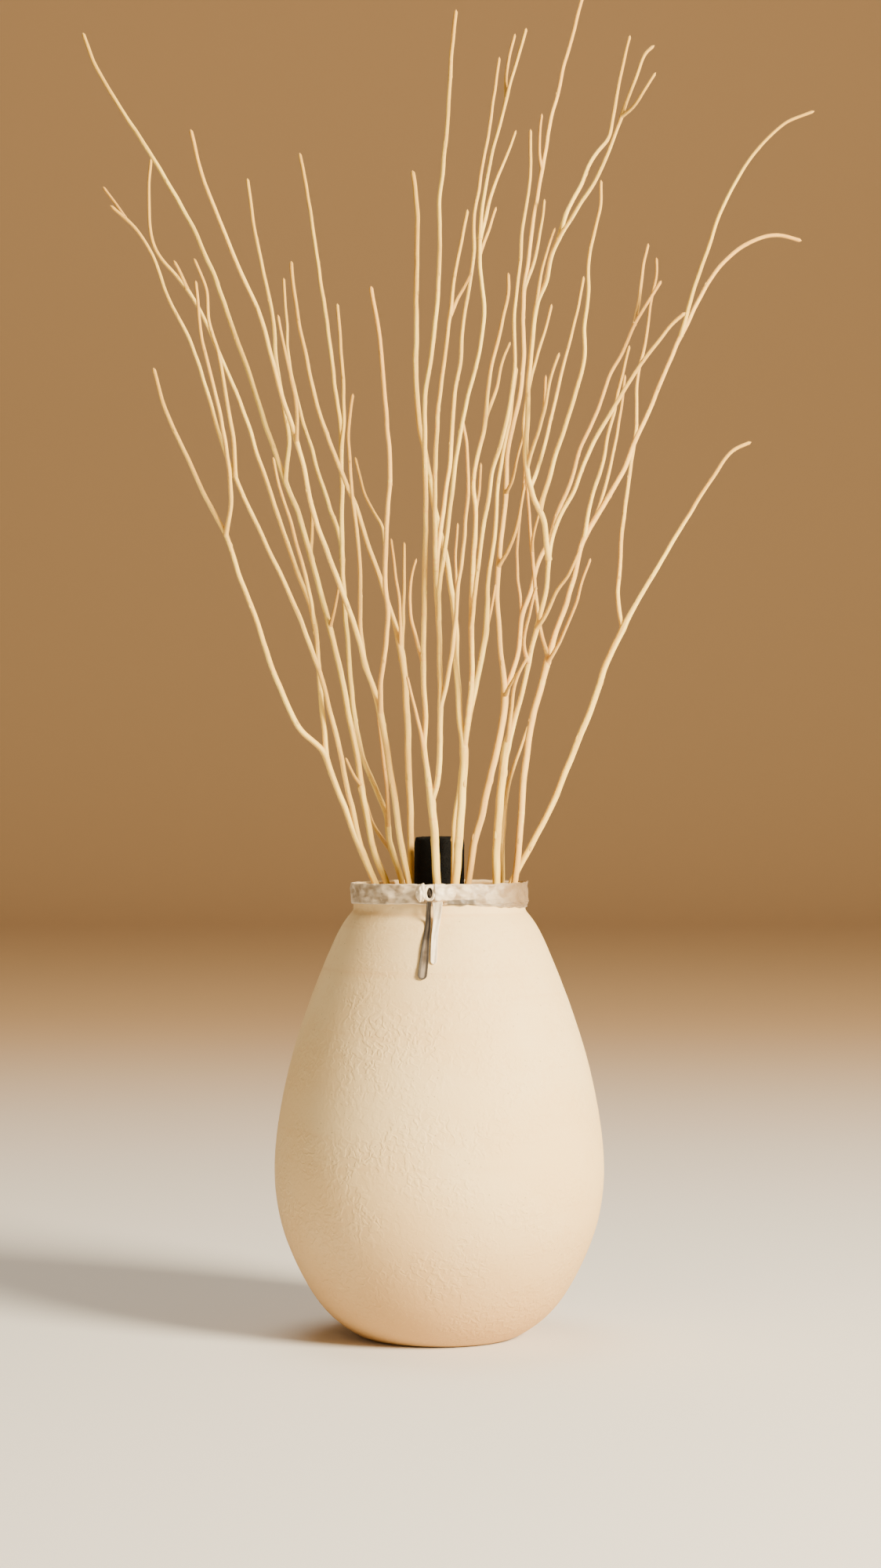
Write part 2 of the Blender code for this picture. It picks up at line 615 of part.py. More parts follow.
def stem_tube(name, places, mouth_width, root_width, tip_width, first_fork, wood, collection):
    above = [sighted(place) for place in places]
    hidden = stem_in_vase(above[0], above[1])
    radii = stem_radii(hidden, above, mouth_width, root_width, tip_width, first_fork)
    return tube(name, hidden + above, radii, 1, wood, collection)


def first_fork_of(places, twig_roots):
    """The real place of the lowest fork on a stem, or of its mouth where nothing forks off."""
    lowest = max(twig_roots, key=lambda point: point[1], default=tuple(places[0][:2]))
    return sighted(min(places, key=lambda place: math.dist(place[:2], lowest)))


def twig_tube(name, places, root_width, tip_width, wood, collection):
    route = [sighted(place) for place in places]
    return tube(name, route, tapered(route, root_width, tip_width), 0, wood, collection)


def join_twigs(stem, twigs):
    """Grow the twigs and their stem together into one solid."""
    union = stem.modifiers.new("grown_together", "BOOLEAN")
    union.operation = "UNION"
    union.operand_type = "COLLECTION"
    union.collection = twigs
    union.solver = "EXACT"
    joined = mesh_of(stem, stem.name)
    stem.modifiers.remove(union)
    stem.data = joined
    joined.shade_smooth()


def build_branch(name, mouth_depth, mouth_width, routes, wood, collection):
    twigs = bpy.data.collections.new(name + "_twigs")
    bpy.context.scene.collection.children.link(twigs)
    places_of = {}
    stem = None
    for route_name, parent, root_width, tip_width, tip_depth, points in routes:
        if parent is None:
            places = smooth_places(stem_places(points, mouth_depth, tip_depth), STEM_RING_SPACING)
            twig_roots = [route[5][0] for route in routes if route[1] == route_name]
            first_fork = first_fork_of(smooth_places(places, 0.001), twig_roots)
            stem = stem_tube(
                name, places, mouth_width, root_width, tip_width, first_fork, wood, collection)
        else:
            rough = twig_places(points, places_of[parent], tip_depth)
            places = smooth_places(rough, TWIG_RING_SPACING)
            twig_tube(name + "_" + route_name, places, root_width, tip_width, wood, twigs)
        places_of[route_name] = smooth_places(places, 0.001)
    if twigs.objects:
        join_twigs(stem, twigs)
    for twig in list(twigs.objects):
        bpy.data.objects.remove(twig, do_unlink=True)
    bpy.data.collections.remove(twigs)
    return stem


def main():
    clear_scene()
    collection = bpy.data.collections.new("vase_of_branches")
    bpy.context.scene.collection.children.link(collection)
    ribbon = make_material("ribbon", (0.62, 0.57, 0.50), 0.35)
    dark_ribbon = make_material("dark_ribbon", (0.30, 0.26, 0.22), 0.45)
    wood = make_material("wood", (0.82, 0.66, 0.42), 0.55)

    pieces = [
        build_vase(collection),
        build_band(ribbon, collection),
        build_knot(ribbon, collection),
        build_tail("dark_tail", DARK_TAIL, DARK_TAIL_WIDTH, dark_ribbon, collection),
        build_tail("light_tail", LIGHT_TAIL, LIGHT_TAIL_WIDTH, ribbon, collection),
        build_core(collection),
    ]
    for name, (mouth_depth, mouth_width, routes) in BRANCHES.items():
        pieces.append(build_branch(name, mouth_depth, mouth_width, routes, wood, collection))

    stand = new_object("vase_of_branches_origin", None, collection)
    for piece in pieces:
        piece.parent = stand


main()
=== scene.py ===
import math

import bmesh
import bpy
from mathutils import Euler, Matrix, Quaternion, Vector, noise


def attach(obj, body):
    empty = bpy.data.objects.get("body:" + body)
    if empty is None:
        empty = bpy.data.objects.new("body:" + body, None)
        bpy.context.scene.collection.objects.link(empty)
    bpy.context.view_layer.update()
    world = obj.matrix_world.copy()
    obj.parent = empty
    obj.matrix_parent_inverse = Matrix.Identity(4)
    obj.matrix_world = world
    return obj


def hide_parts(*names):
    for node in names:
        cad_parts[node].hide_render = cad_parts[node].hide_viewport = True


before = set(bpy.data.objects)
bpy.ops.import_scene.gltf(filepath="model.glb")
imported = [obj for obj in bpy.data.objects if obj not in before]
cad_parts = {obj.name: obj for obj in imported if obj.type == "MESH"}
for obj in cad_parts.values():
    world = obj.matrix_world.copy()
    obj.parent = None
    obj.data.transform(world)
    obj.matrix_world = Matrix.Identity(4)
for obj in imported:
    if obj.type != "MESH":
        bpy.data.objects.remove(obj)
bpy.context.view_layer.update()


# The camera
# It stands where the photograph was taken: a little over two metres in front of the vase, just
# above its mouth, looking slightly down on it with a long lens.
EYE = Vector((0.0007, -2.100, 0.364))
EYE_PITCH = math.radians(-1.34)
FRAME_CENTRE_PX = (562, 1000)
FRAME_LONG_SIDE_PX = 2000
FOCAL_LENGTH_PX = 4700
SENSOR_LONG_SIDE_MM = 36.0
NEAREST_SEEN = 0.05
FURTHEST_SEEN = 60.0


def placed(name, data):
    """A new object in the scene, at the origin."""
    thing = bpy.data.objects.new(name, data)
    bpy.context.scene.collection.objects.link(thing)
    return thing


camera_body = bpy.data.cameras.new("camera")
camera_body.sensor_width = SENSOR_LONG_SIDE_MM
camera_body.lens = SENSOR_LONG_SIDE_MM * FOCAL_LENGTH_PX / FRAME_LONG_SIDE_PX
camera_body.clip_start = NEAREST_SEEN
camera_body.clip_end = FURTHEST_SEEN
camera = placed("camera", camera_body)
camera.location = EYE
camera.rotation_euler = (math.radians(90.0) + EYE_PITCH, 0.0, 0.0)
bpy.context.scene.camera = camera


# The floor, the backdrop and the studio's lights
# One sheet of paper lies under the vase and curves up far behind it, pale below and shaded darker
# at the back. A wide soft light stands to the right in front, and two weak ones open the shadows.
class Wire:
    """What leaves a node's output. Sums written with it become Math nodes."""

    def __init__(self, bench, socket):
        self.bench = bench
        self.socket = socket

    def __add__(self, other):
        return self.bench.maths("ADD", self, other)

    def __radd__(self, other):
        return self.bench.maths("ADD", other, self)

    def __sub__(self, other):
        return self.bench.maths("SUBTRACT", self, other)

    def __rsub__(self, other):
        return self.bench.maths("SUBTRACT", other, self)

    def __mul__(self, other):
        return self.bench.maths("MULTIPLY", self, other)

    def __rmul__(self, other):
        return self.bench.maths("MULTIPLY", other, self)

    def __truediv__(self, other):
        return self.bench.maths("DIVIDE", self, other)

    def __rtruediv__(self, other):
        return self.bench.maths("DIVIDE", other, self)

    def __pow__(self, power):
        return self.bench.maths("POWER", self, power)

    def side(self, name):
        """Another output of the same node."""
        return Wire(self.bench, picked(self.socket.node.outputs, name))


def picked(sockets, key):
    """A socket by its number, its identifier or its name."""
    if isinstance(key, int):
        return sockets[key]
    for socket in sockets:
        if socket.identifier == key:
            return socket
    return sockets[key]


class Bench:
    """A tree of nodes, for a finish or a form, with one way to add any node to it."""

    def __init__(self, tree):
        self.tree = tree

    def add(self, kind, settings=None, inputs=None, output=0):
        node = self.tree.nodes.new(kind)
        for name, value in (settings or {}).items():
            setattr(node, name, value)
        for key, value in (inputs or {}).items():
            socket = picked(node.inputs, key)
            if isinstance(value, Wire):
                self.tree.links.new(value.socket, socket)
            else:
                socket.default_value = value
        return Wire(self, picked(node.outputs, output)) if node.outputs else node

    def maths(self, operation, *values):
        return self.add("ShaderNodeMath", {"operation": operation}, dict(enumerate(values)))

    def place(self):
        """Where a point of the piece lies, in metres."""
        return self.add("ShaderNodeTexCoord", {}, {}, "Object")

    def carried(self, name, output="Fac"):
        """A value that the piece's mesh carries."""
        return self.add("ShaderNodeAttribute", {"attribute_name": name}, {}, output)

    def split(self, vector):
        """The three parts of a vector, as the sides X, Y and Z."""
        return self.add("ShaderNodeSeparateXYZ", {}, {"Vector": vector})

    def joined(self, x, y, z):
        return self.add("ShaderNodeCombineXYZ", {}, {"X": x, "Y": y, "Z": z})

    def stretched(self, vector, factors):
        return self.add("ShaderNodeVectorMath", {"operation": "MULTIPLY"}, {0: vector, 1: factors})

    def noise(self, vector, scale, detail=2.0, roughness=0.5, distortion=0.0):
        """Soft grain between 0 and 1."""
        values = {"Scale": scale, "Detail": detail, "Roughness": roughness, "Distortion": distortion}
        return self.add("ShaderNodeTexNoise", {"noise_dimensions": "3D"}, {"Vector": vector, **values})

    def cells(self, vector, scale):
        """How far a point is from the middle of its own small cell."""
        values = {"Vector": vector, "Scale": scale}
        return self.add("ShaderNodeTexVoronoi", {"feature": "F1"}, values, "Distance")

    def between(self, value, low, high):
        """0 below low, 1 above high and smooth between them. It falls where low is above high."""
        rising = low < high
        limits = {
            "From Min": min(low, high), "From Max": max(low, high),
            "To Min": 0.0 if rising else 1.0, "To Max": 1.0 if rising else 0.0}
        smooth = {"interpolation_type": "SMOOTHSTEP"}
        return self.add("ShaderNodeMapRange", smooth, {"Value": value, **limits})

    def blend(self, share, start, end):
        """One colour laid over another."""
        settings = {"data_type": "RGBA", "blend_type": "MIX", "clamp_factor": True}
        colours = {"A_Color": start, "B_Color": end}
        for key, colour in colours.items():
            if not isinstance(colour, Wire):
                colours[key] = (*colour, 1.0)
        return self.add("ShaderNodeMix", settings, {"Factor_Float": share, **colours}, "Result_Color")

    def coated(self, tone, *coats):
        """A tone with other colours laid over it, each given as its share and its colour."""
        for share, colour in coats:
            tone = self.blend(share, tone, colour)
        return tone

    def bumps(self, strength, relief):
        """A surface's fine relief, given in millimetres."""
        values = {"Strength": strength, "Distance": 0.001, "Height": relief}
        return self.add("ShaderNodeBump", {}, values, "Normal")


def new_finish(name, viewport_colour):
    material = bpy.data.materials.new(name)
    material.use_nodes = True
    material.node_tree.nodes.clear()
    material.diffuse_color = (*viewport_colour, 1.0)
    return material, Bench(material.node_tree)


def finished(bench, **shader_inputs):
    """Close a finish with one Principled shader. Underscores stand for the spaces in its names."""
    inputs = {name.replace("_", " "): value for name, value in shader_inputs.items()}
    shader = bench.add("ShaderNodeBsdfPrincipled", {}, inputs)
    bench.add("ShaderNodeOutputMaterial", {}, {"Surface": shader})


PAPER = (0.78, 0.765, 0.745)
PAPER_CLOUDED = (0.72, 0.70, 0.68)
PAPER_FAR = (0.710, 0.465, 0.240)
PAPER_SHADED_FROM = 0.10
PAPER_SHADED_AT = 2.20
PAPER_HALF_WIDTH = 40.0
PAPER_FRONT = -12.0
PAPER_BEND_START = 3.8
PAPER_BEND_RADIUS = 1.8
PAPER_BEND_STEPS = 16
PAPER_TOP = 8.0

paper_finish, bench = new_finish("studio_paper", PAPER)
place = bench.place()
cloudy = bench.noise(place, 1.3, detail=3.0)
far_back = bench.between(bench.split(place).side("Y"), PAPER_SHADED_FROM, PAPER_SHADED_AT)
tone = bench.blend(cloudy * 0.15, PAPER, PAPER_CLOUDED)
finished(bench, Base_Color=bench.blend(far_back, tone, PAPER_FAR), Roughness=0.85)

paper_line = [(PAPER_FRONT, 0.0), (PAPER_BEND_START, 0.0)]
for step in range(1, PAPER_BEND_STEPS + 1):
    turn = math.radians(90.0) * step / PAPER_BEND_STEPS
    along = PAPER_BEND_START + PAPER_BEND_RADIUS * math.sin(turn)
    paper_line.append((along, PAPER_BEND_RADIUS * (1.0 - math.cos(turn))))
paper_line.append((PAPER_BEND_START + PAPER_BEND_RADIUS, PAPER_TOP))
paper_points = [(side * PAPER_HALF_WIDTH, y, z) for y, z in paper_line for side in (-1, 1)]
paper_faces = [(2 * i, 2 * i + 1, 2 * i + 3, 2 * i + 2) for i in range(len(paper_line) - 1)]
paper_mesh = bpy.data.meshes.new("studio_paper")
paper_mesh.from_pydata(paper_points, [], paper_faces)
paper_mesh.shade_smooth()
paper_mesh.materials.append(paper_finish)
paper = placed("studio_paper", paper_mesh)

# Each light: its name, its place, its width, its power in watts and its colour.
LIGHTS = [
    ("key_light", (1.75, -1.55, 1.25), 0.9, 290.0, (1.0, 0.85, 0.60)),
    ("fill_light", (-2.0, -1.8, 0.9), 1.6, 3.6, (1.0, 0.72, 0.47)),
    ("top_light", (-0.2, 0.6, 2.4), 1.4, 34.0, (1.0, 0.90, 0.74)),
]
LIGHTS_AIM = Vector((0.0, 0.0, 0.36))
AIR = (0.95, 0.76, 0.56)
AIR_STRENGTH = 0.155

for name, location, width, power, colour in LIGHTS:
    lamp = bpy.data.lights.new(name, "AREA")
    lamp.shape = "DISK"
    lamp.size = width
    lamp.energy = power
    lamp.color = colour
    light = placed(name, lamp)
    light.location = location
    light.rotation_euler = (LIGHTS_AIM - Vector(location)).to_track_quat("-Z", "Y").to_euler()

studio = bpy.data.worlds.new("studio")
studio.use_nodes = True
air = studio.node_tree.nodes["Background"].inputs
air["Color"].default_value = (*AIR, 1.0)
air["Strength"].default_value = AIR_STRENGTH
bpy.context.scene.world = studio


# The vase
# A round-bellied vase of cream clay, thrown on a wheel, with a straight collar and a small flat
# foot. It is left unglazed: matte, softly pitted, with faint rings from the potter's fingers.
VASE_HEIGHT = 0.2583
FLOOR_THICKNESS = 0.008
FLOOR_FLAT_RADIUS = 0.030
COLLAR_RADIUS = 0.049
MOUTH_RADIUS = 0.0463
VASE_OUTSIDE = [
    (0.0490, 0.2430), (0.0517, 0.2405), (0.0542, 0.2370), (0.0571, 0.2320), (0.0599, 0.2260),
    (0.0634, 0.2180), (0.0675, 0.2080), (0.0722, 0.1960), (0.0775, 0.1810), (0.0829, 0.1640),
    (0.0872, 0.1470), (0.0908, 0.1290), (0.0933, 0.1110), (0.0942, 0.0935), (0.0928, 0.0765),
    (0.0892, 0.0605), (0.0834, 0.0455), (0.0764, 0.0315), (0.0680, 0.0185), (0.0575, 0.0080),
    (0.0480, 0.0020)]
VASE_INSIDE = [
    (0.0480, 0.0080), (0.0640, 0.0200), (0.0790, 0.0440), (0.0880, 0.0800), (0.0885, 0.1100),
    (0.0820, 0.1500), (0.0690, 0.1900), (0.0530, 0.2280), (0.0463, 0.2430)]
VASE_FOOT = [(0.0440, 0.0004), (0.0420, 0.0), (0.0400, 0.0), (0.0, 0.0)]
OUTLINE_STEP = 0.002
OUTSIDE_PASSES = 14
INSIDE_PASSES = 6
LIP_STEPS = 8


def new_form(name, inlets):
    """A geometry tree with a named input for each of its sizes, and the way to read them."""
    kinds = {int: "NodeSocketInt", float: "NodeSocketFloat", type(None): "NodeSocketMaterial"}
    tree = bpy.data.node_groups.new(name, "GeometryNodeTree")
    tree.interface.new_socket("Geometry", in_out="INPUT", socket_type="NodeSocketGeometry")
    for inlet, value in inlets.items():
        socket = tree.interface.new_socket(inlet, in_out="INPUT", socket_type=kinds[type(value)])
        if value is not None:
            socket.default_value = value
    tree.interface.new_socket("Geometry", in_out="OUTPUT", socket_type="NodeSocketGeometry")
    bench = Bench(tree)
    return bench, bench.add("NodeGroupInput").side


def close_form(bench, geometry, finish):
    """End a form with its own plain faces, shaded smooth and in its finish."""
    smooth = bench.add("GeometryNodeSetShadeSmooth", {}, {"Geometry": geometry, "Shade Smooth": True})
    real = bench.add("GeometryNodeRealizeInstances", {}, {"Geometry": smooth})
    covered = bench.add("GeometryNodeSetMaterial", {}, {"Geometry": real, "Material": finish})
    bench.add("NodeGroupOutput", {}, {"Geometry": covered})
    return bench.tree


def settled(name, start, modifier):
    """The plain mesh that a modifier makes of a start object, which is then taken away."""
    bpy.context.view_layer.update()
    depsgraph = bpy.context.evaluated_depsgraph_get()
    mesh = bpy.data.meshes.new_from_object(
        start.evaluated_get(depsgraph), preserve_all_data_layers=True, depsgraph=depsgraph)
    mesh.name = name
    start.modifiers.remove(modifier)
    bpy.data.objects.remove(start, do_unlink=True)
    return mesh


def formed(name, start_mesh, form, finish):
    """The piece that a form makes of a start mesh."""
    start = placed(name + "_start", start_mesh)
    modifier = start.modifiers.new("form", "NODES")
    modifier.node_group = form
    for inlet in form.interface.items_tree:
        if inlet.in_out == "INPUT" and inlet.name == "Finish":
            modifier[inlet.identifier] = finish
    return placed(name, settled(name, start, modifier))


def arc(start, start_pull, end, end_pull, share):
    """A place on the smooth arc that leaves one point and reaches the next along their pulls."""
    square, cube = share ** 2, share ** 3
    return (
        start * (2 * cube - 3 * square + 1) + start_pull * (cube - 2 * square + share)
        + end * (3 * square - 2 * cube) + end_pull * (cube - square))


def fair_curve(points, spacing):
    """A smooth curve through unevenly spread points, which doesn't swing out where they crowd."""
    points = [Vector(point) for point in points]
    gaps = [(end - start).length for start, end in zip(points, points[1:])]
    ways = [(points[1] - points[0]) / gaps[0]]
    for i in range(1, len(points) - 1):
        before = (points[i] - points[i - 1]) / gaps[i - 1]
        after = (points[i + 1] - points[i]) / gaps[i]
        ways.append((before * gaps[i] + after * gaps[i - 1]) / (gaps[i] + gaps[i - 1]))
    ways.append((points[-1] - points[-2]) / gaps[-1])
    curve = [points[0]]
    for i, gap in enumerate(gaps):
        pieces = max(1, round(gap / spacing))
        for piece in range(1, pieces + 1):
            curve.append(arc(points[i], ways[i] * gap, points[i + 1], ways[i + 1] * gap, piece / pieces))
    return curve


def evened(line, passes):
    """The same line with its small bends evened out and its two ends kept."""
    for turn in range(passes):
        between = [(a + b * 2 + c) / 4 for a, b, c in zip(line, line[1:], line[2:])]
        line = [line[0]] + between + [line[-1]]
    return line


clay_side = evened(fair_curve(VASE_OUTSIDE, OUTLINE_STEP), OUTSIDE_PASSES)


def vase_outline():
    """The vase's outline from the middle of its floor, up inside, over the lip and down to its foot."""
    floor = [(FLOOR_FLAT_RADIUS, FLOOR_THICKNESS)]
    inside = evened(fair_curve(floor + VASE_INSIDE, OUTLINE_STEP), INSIDE_PASSES)
    middle = (MOUTH_RADIUS + COLLAR_RADIUS) / 2
    reach = (COLLAR_RADIUS - MOUTH_RADIUS) / 2
    lip = []
    for step in range(LIP_STEPS + 1):
        turn = math.pi * step / LIP_STEPS
        lip.append(Vector((middle - reach * math.cos(turn), VASE_HEIGHT - reach + reach * math.sin(turn))))
    foot = [Vector(point) for point in VASE_FOOT]
    return [Vector((0.0, FLOOR_THICKNESS))] + inside + lip + clay_side + foot


CLAY = (0.885, 0.640, 0.305)
CLAY_PALE = (0.945, 0.760, 0.425)
CLAY_WARM = (0.700, 0.385, 0.130)
CLAY_PAINTED_WARM_SHADE = (0.560, 0.300, 0.105)
CLAY_SPECK = (0.330, 0.215, 0.120)

clay_finish, bench = new_finish("cream_clay", CLAY)
place = bench.place()
height = bench.split(place).side("Z")
cloud = bench.noise(place, 14.0, detail=3.0, roughness=0.55)
ringed = bench.noise(bench.stretched(place, (3.0, 3.0, 150.0)), 1.0, detail=3.0, roughness=0.6)
sand = bench.noise(place, 1500.0, detail=2.0, roughness=0.7)
grit = bench.noise(place, 520.0, detail=2.0, roughness=0.6)
peel = bench.noise(place, 290.0, detail=1.0, roughness=0.4, distortion=0.9)
patchy = bench.between(bench.noise(bench.stretched(place, (1.0, 1.0, 1.4)), 24.0, detail=2.0), 0.41, 0.58)
near_neck = bench.between(height, 0.170, 0.232)
# Towards the foot the clay is painted darker and warmer: painted shade, warmed like light bounced from brown
# surroundings.
painted_low_shade = bench.between(height, 0.110, 0.004)
peeled = bench.between(peel, 0.42, 0.64) * (0.30 + 0.70 * patchy) * (1.0 - near_neck * 0.7)
specks = bench.between(bench.cells(place, 210.0), 0.11, 0.06) * bench.between(cloud, 0.46, 0.56)
tone = bench.coated(
    CLAY,
    (bench.between(cloud, 0.35, 0.70) * 0.5, CLAY_PALE),
    (bench.between(ringed, 0.52, 0.78) * (0.10 + 0.22 * near_neck), CLAY_WARM),
    (bench.between(peel, 0.50, 0.34) * patchy * 0.12, CLAY_WARM),
    (painted_low_shade * 0.70, CLAY_PAINTED_WARM_SHADE),
    (bench.between(grit, 0.58, 0.80) * 0.20, CLAY_PALE),
    (specks * 0.45, CLAY_SPECK))
relief = (sand - 0.5) * 0.035 + (grit - 0.5) * 0.070 + peeled * 0.210 - specks * 0.08
relief = relief + (ringed - 0.5) * (0.06 + 0.12 * near_neck)
finished(
    bench, Base_Color=tone, Roughness=0.62 + 0.22 * grit, Normal=bench.bumps(0.9, relief), IOR=1.45,
    Specular_IOR_Level=0.35)

bench, size = new_form("thrown_on_a_wheel", {
    "Steps round": 256, "Steps along": 330, "Finger rings": 0.00013, "Out of round": 0.00022,
    "Seam": 0.00002, "Finish": None})
sheet = bench.add("GeometryNodeMeshGrid", {}, {
    "Size X": 1.0, "Size Y": 1.0, "Vertices X": size("Steps round"), "Vertices Y": size("Steps along")})
corner = bench.split(bench.add("GeometryNodeInputPosition"))
turn = (corner.side("X") + 0.5) * (2 * math.pi)
outline = bench.add("GeometryNodeMeshToCurve", {}, {"Mesh": size("Geometry")})
on_line = bench.split(bench.add(
    "GeometryNodeSampleCurve", {"mode": "FACTOR", "use_all_curves": True},
    {"Curves": outline, "Factor": 0.5 - corner.side("Y")}, "Position"))
reach, rise = on_line.side("X"), on_line.side("Z")
east, north = bench.maths("COSINE", turn), bench.maths("SINE", turn)
rings = bench.noise(bench.joined(east * 0.4, north * 0.4, rise * 130.0), 1.0, detail=2.0) - 0.5
wobble = bench.noise(bench.joined(east * 1.1, north * 1.1, rise * 9.0), 1.0, detail=1.0) - 0.5
free = bench.between(rise, 0.004, 0.020) * bench.between(rise, 0.243, 0.228)
reach = reach + (rings * size("Finger rings") + wobble * size("Out of round")) * 2.0 * free
turned = bench.add("GeometryNodeSetPosition", {}, {
    "Geometry": sheet, "Position": bench.joined(reach * east, reach * north, rise)})
sealed = bench.add("GeometryNodeMergeByDistance", {}, {"Geometry": turned, "Distance": size("Seam")})
vase_form = close_form(bench, sealed, size("Finish"))

outline_mesh = bpy.data.meshes.new("vase_outline")
outline_points = [(point.x, 0.0, point.y) for point in vase_outline()]
outline_mesh.from_pydata(outline_points, [(i, i + 1) for i in range(len(outline_points) - 1)], [])
clay_vase = formed("clay_vase", outline_mesh, vase_form, clay_finish)
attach(clay_vase, "root")
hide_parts("vase")


# The foam core
# A round plug of black flower foam stands in the middle of the vase, among the stems' feet. It
# was cut with a knife, so its top is flat, its edge is a little crumbled and its face has pores.
CORE_RADIUS = 0.0145
CORE_TOP = 0.2850
CORE_LIFT = 0.0003
CORE_EDGE = 0.0012
CORE_TOP_RINGS = 10
CORE_EDGE_RINGS = 6
CORE_SIDE_RINGS = 150
CORE_STEPS = 96
WORN_REACH = 0.0022
WORN_MORE = 2.2
LOOSE_TOP = 0.004
COARSE_CRUMBS = 0.00030
FINE_CRUMBS = 0.00018

FOAM = (0.0035, 0.0034, 0.0033)
FOAM_DUSTY = (0.011, 0.010, 0.009)
FOAM_PORE_SHADE = (0.001, 0.001, 0.001)
FOAM_FROM_AFAR = (0.012, 0.012, 0.012)

foam_finish, bench = new_finish("black_foam", FOAM_FROM_AFAR)
place = bench.place()
pored = bench.between(bench.cells(place, 1400.0), 0.50, 0.15)
dusty = bench.between(bench.noise(place, 260.0, detail=3.0), 0.50, 0.75)
# The pores are coloured darker than the face: painted shade in their hollows.
tone = bench.coated(
    FOAM,
    (dusty * 0.6, FOAM_DUSTY),
    (pored * 0.8, FOAM_PORE_SHADE))
finished(
    bench, Base_Color=tone, Roughness=0.84 + 0.12 * dusty, Normal=bench.bumps(1.0, pored * -0.30),
    Specular_IOR_Level=0.10)

core_drop = CORE_TOP - CORE_EDGE - FLOOR_THICKNESS - CORE_LIFT
core_line = [(CORE_RADIUS * ring / CORE_TOP_RINGS, CORE_TOP) for ring in range(CORE_TOP_RINGS)]
for ring in range(CORE_EDGE_RINGS + 1):
    turn = math.radians(90.0 / CORE_EDGE_RINGS * ring)
    inwards, down = CORE_EDGE * (1 - math.sin(turn)), CORE_EDGE * (1 - math.cos(turn))
    core_line.append((CORE_RADIUS - inwards, CORE_TOP - down))
for ring in range(1, CORE_SIDE_RINGS + 1):
    core_line.append((CORE_RADIUS, CORE_TOP - CORE_EDGE - core_drop * ring / CORE_SIDE_RINGS))
core_line.append((0.0, FLOOR_THICKNESS + CORE_LIFT))


def crumbled(place, slack):
    """How far the cut foam has crumbled away at a place, in metres."""
    coarse = 0.5 + 0.5 * noise.noise(place * 330.0)
    fine = 0.5 + 0.5 * noise.noise(place * 900.0)
    return slack * (COARSE_CRUMBS * coarse + FINE_CRUMBS * fine)


def round_about(turn):
    """The way outwards from the vase's axis."""
    return Vector((math.cos(turn), math.sin(turn), 0.0))


def made(name, shape, finish):
    """The piece that a worked shape makes, shaded smooth and in its finish."""
    mesh = bpy.data.meshes.new(name)
    shape.to_mesh(mesh)
    shape.free()
    mesh.shade_smooth()
    mesh.materials.append(finish)
    return placed(name, mesh)


core_shape = bmesh.new()
core_rings = []
for point in [Vector(point) for point in core_line]:
    at_edge = math.exp(-((point - Vector((CORE_RADIUS, CORE_TOP))).length / WORN_REACH) ** 2)
    ring = []
    for step in range(CORE_STEPS if point.x > 0.0 else 1):
        out = round_about(2 * math.pi * step / CORE_STEPS)
        spot = out * point.x + Vector((0.0, 0.0, point.y))
        loss = crumbled(spot, 1.0 + WORN_MORE * at_edge)
        if 0.0 < point.x and point.y > CORE_TOP - LOOSE_TOP:
            spot.z -= loss
        if point.x > CORE_RADIUS - 2 * CORE_EDGE and point.y > FLOOR_THICKNESS + 2 * CORE_LIFT:
            spot -= out * loss
        ring.append(core_shape.verts.new(spot))
    core_rings.append(ring)
for upper, lower in zip(core_rings, core_rings[1:]):
    for step in range(CORE_STEPS):
        after = (step + 1) % CORE_STEPS
        corners = [
            upper[step % len(upper)], lower[step % len(lower)],
            lower[after % len(lower)], upper[after % len(upper)]]
        core_shape.faces.new(list(dict.fromkeys(corners)))
cut_foam = made("cut_foam", core_shape, foam_finish)
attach(cut_foam, "root")
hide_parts("foam_core")


# The branches
# Thirteen bare stems of curly willow, each grown as one with its twigs. They were peeled, bleached
# and dried to a pale straw, with fine lengthwise grain, darker forks and the scars of old buds.
# Their feet stand on the vase's floor, turned aside, so that the stems cross inside its neck.
FOOT_TURN = math.radians(75)
FOOT_DRAW = 0.85
FOOT_UPRIGHT = 0.008
COLLAR_PULL = 0.110
HIDDEN_PIECES = 60
LEAN_POINTS = 10
FORK_NARROWING = 0.020
STEM_SWING = 1.25
STRAND_STEP = 0.003
PARENT_STEP = 0.001
STRAND_SEED = 0.37
TIP_DARKENING = 0.110

STRAW = (0.850, 0.515, 0.090)
STRAW_PALE = (0.985, 0.745, 0.175)
PEACH = (0.860, 0.460, 0.115)
HONEY = (0.540, 0.265, 0.045)
WEATHERED = (0.420, 0.280, 0.140)
SCAR = (0.240, 0.120, 0.045)

wood_finish, bench = new_finish("bleached_willow", STRAW)
rim = bench.split(bench.carried("around", "Vector"))
rim_x, rim_y = rim.side("X"), rim.side("Y")
from_root, strand = bench.carried("from_root"), bench.carried("strand")
knotty, tipward = bench.carried("knotty"), bench.carried("tipward")
fibre_place = bench.joined(rim_x * 4.6, rim_y * 4.6, from_root * 120.0 + strand * 7.3)
streak_place = bench.joined(rim_x * 1.2 + strand * 3.1, rim_y * 1.2, from_root * 26.0 + strand * 5.7)
stain_place = bench.joined(from_root * 17.0, strand * 9.7, rim_x * 0.5)
lenticel_place = bench.joined(rim_x * 2.2, rim_y * 2.2, from_root * 420.0 + strand * 13.1)
fibres = bench.noise(fibre_place, 1.0, detail=3.0, roughness=0.6)
streaks = bench.noise(streak_place, 1.0, detail=3.0, roughness=0.55, distortion=0.3)
stained = bench.noise(stain_place, 1.0, detail=2.0)
speckled = bench.between(bench.cells(lenticel_place, 1.0), 0.24, 0.12) * bench.between(stained, 0.48, 0.62)
lot = bench.add("ShaderNodeTexWhiteNoise", {"noise_dimensions": "1D"}, {"W": strand * 1.7 + 0.3}, "Value")
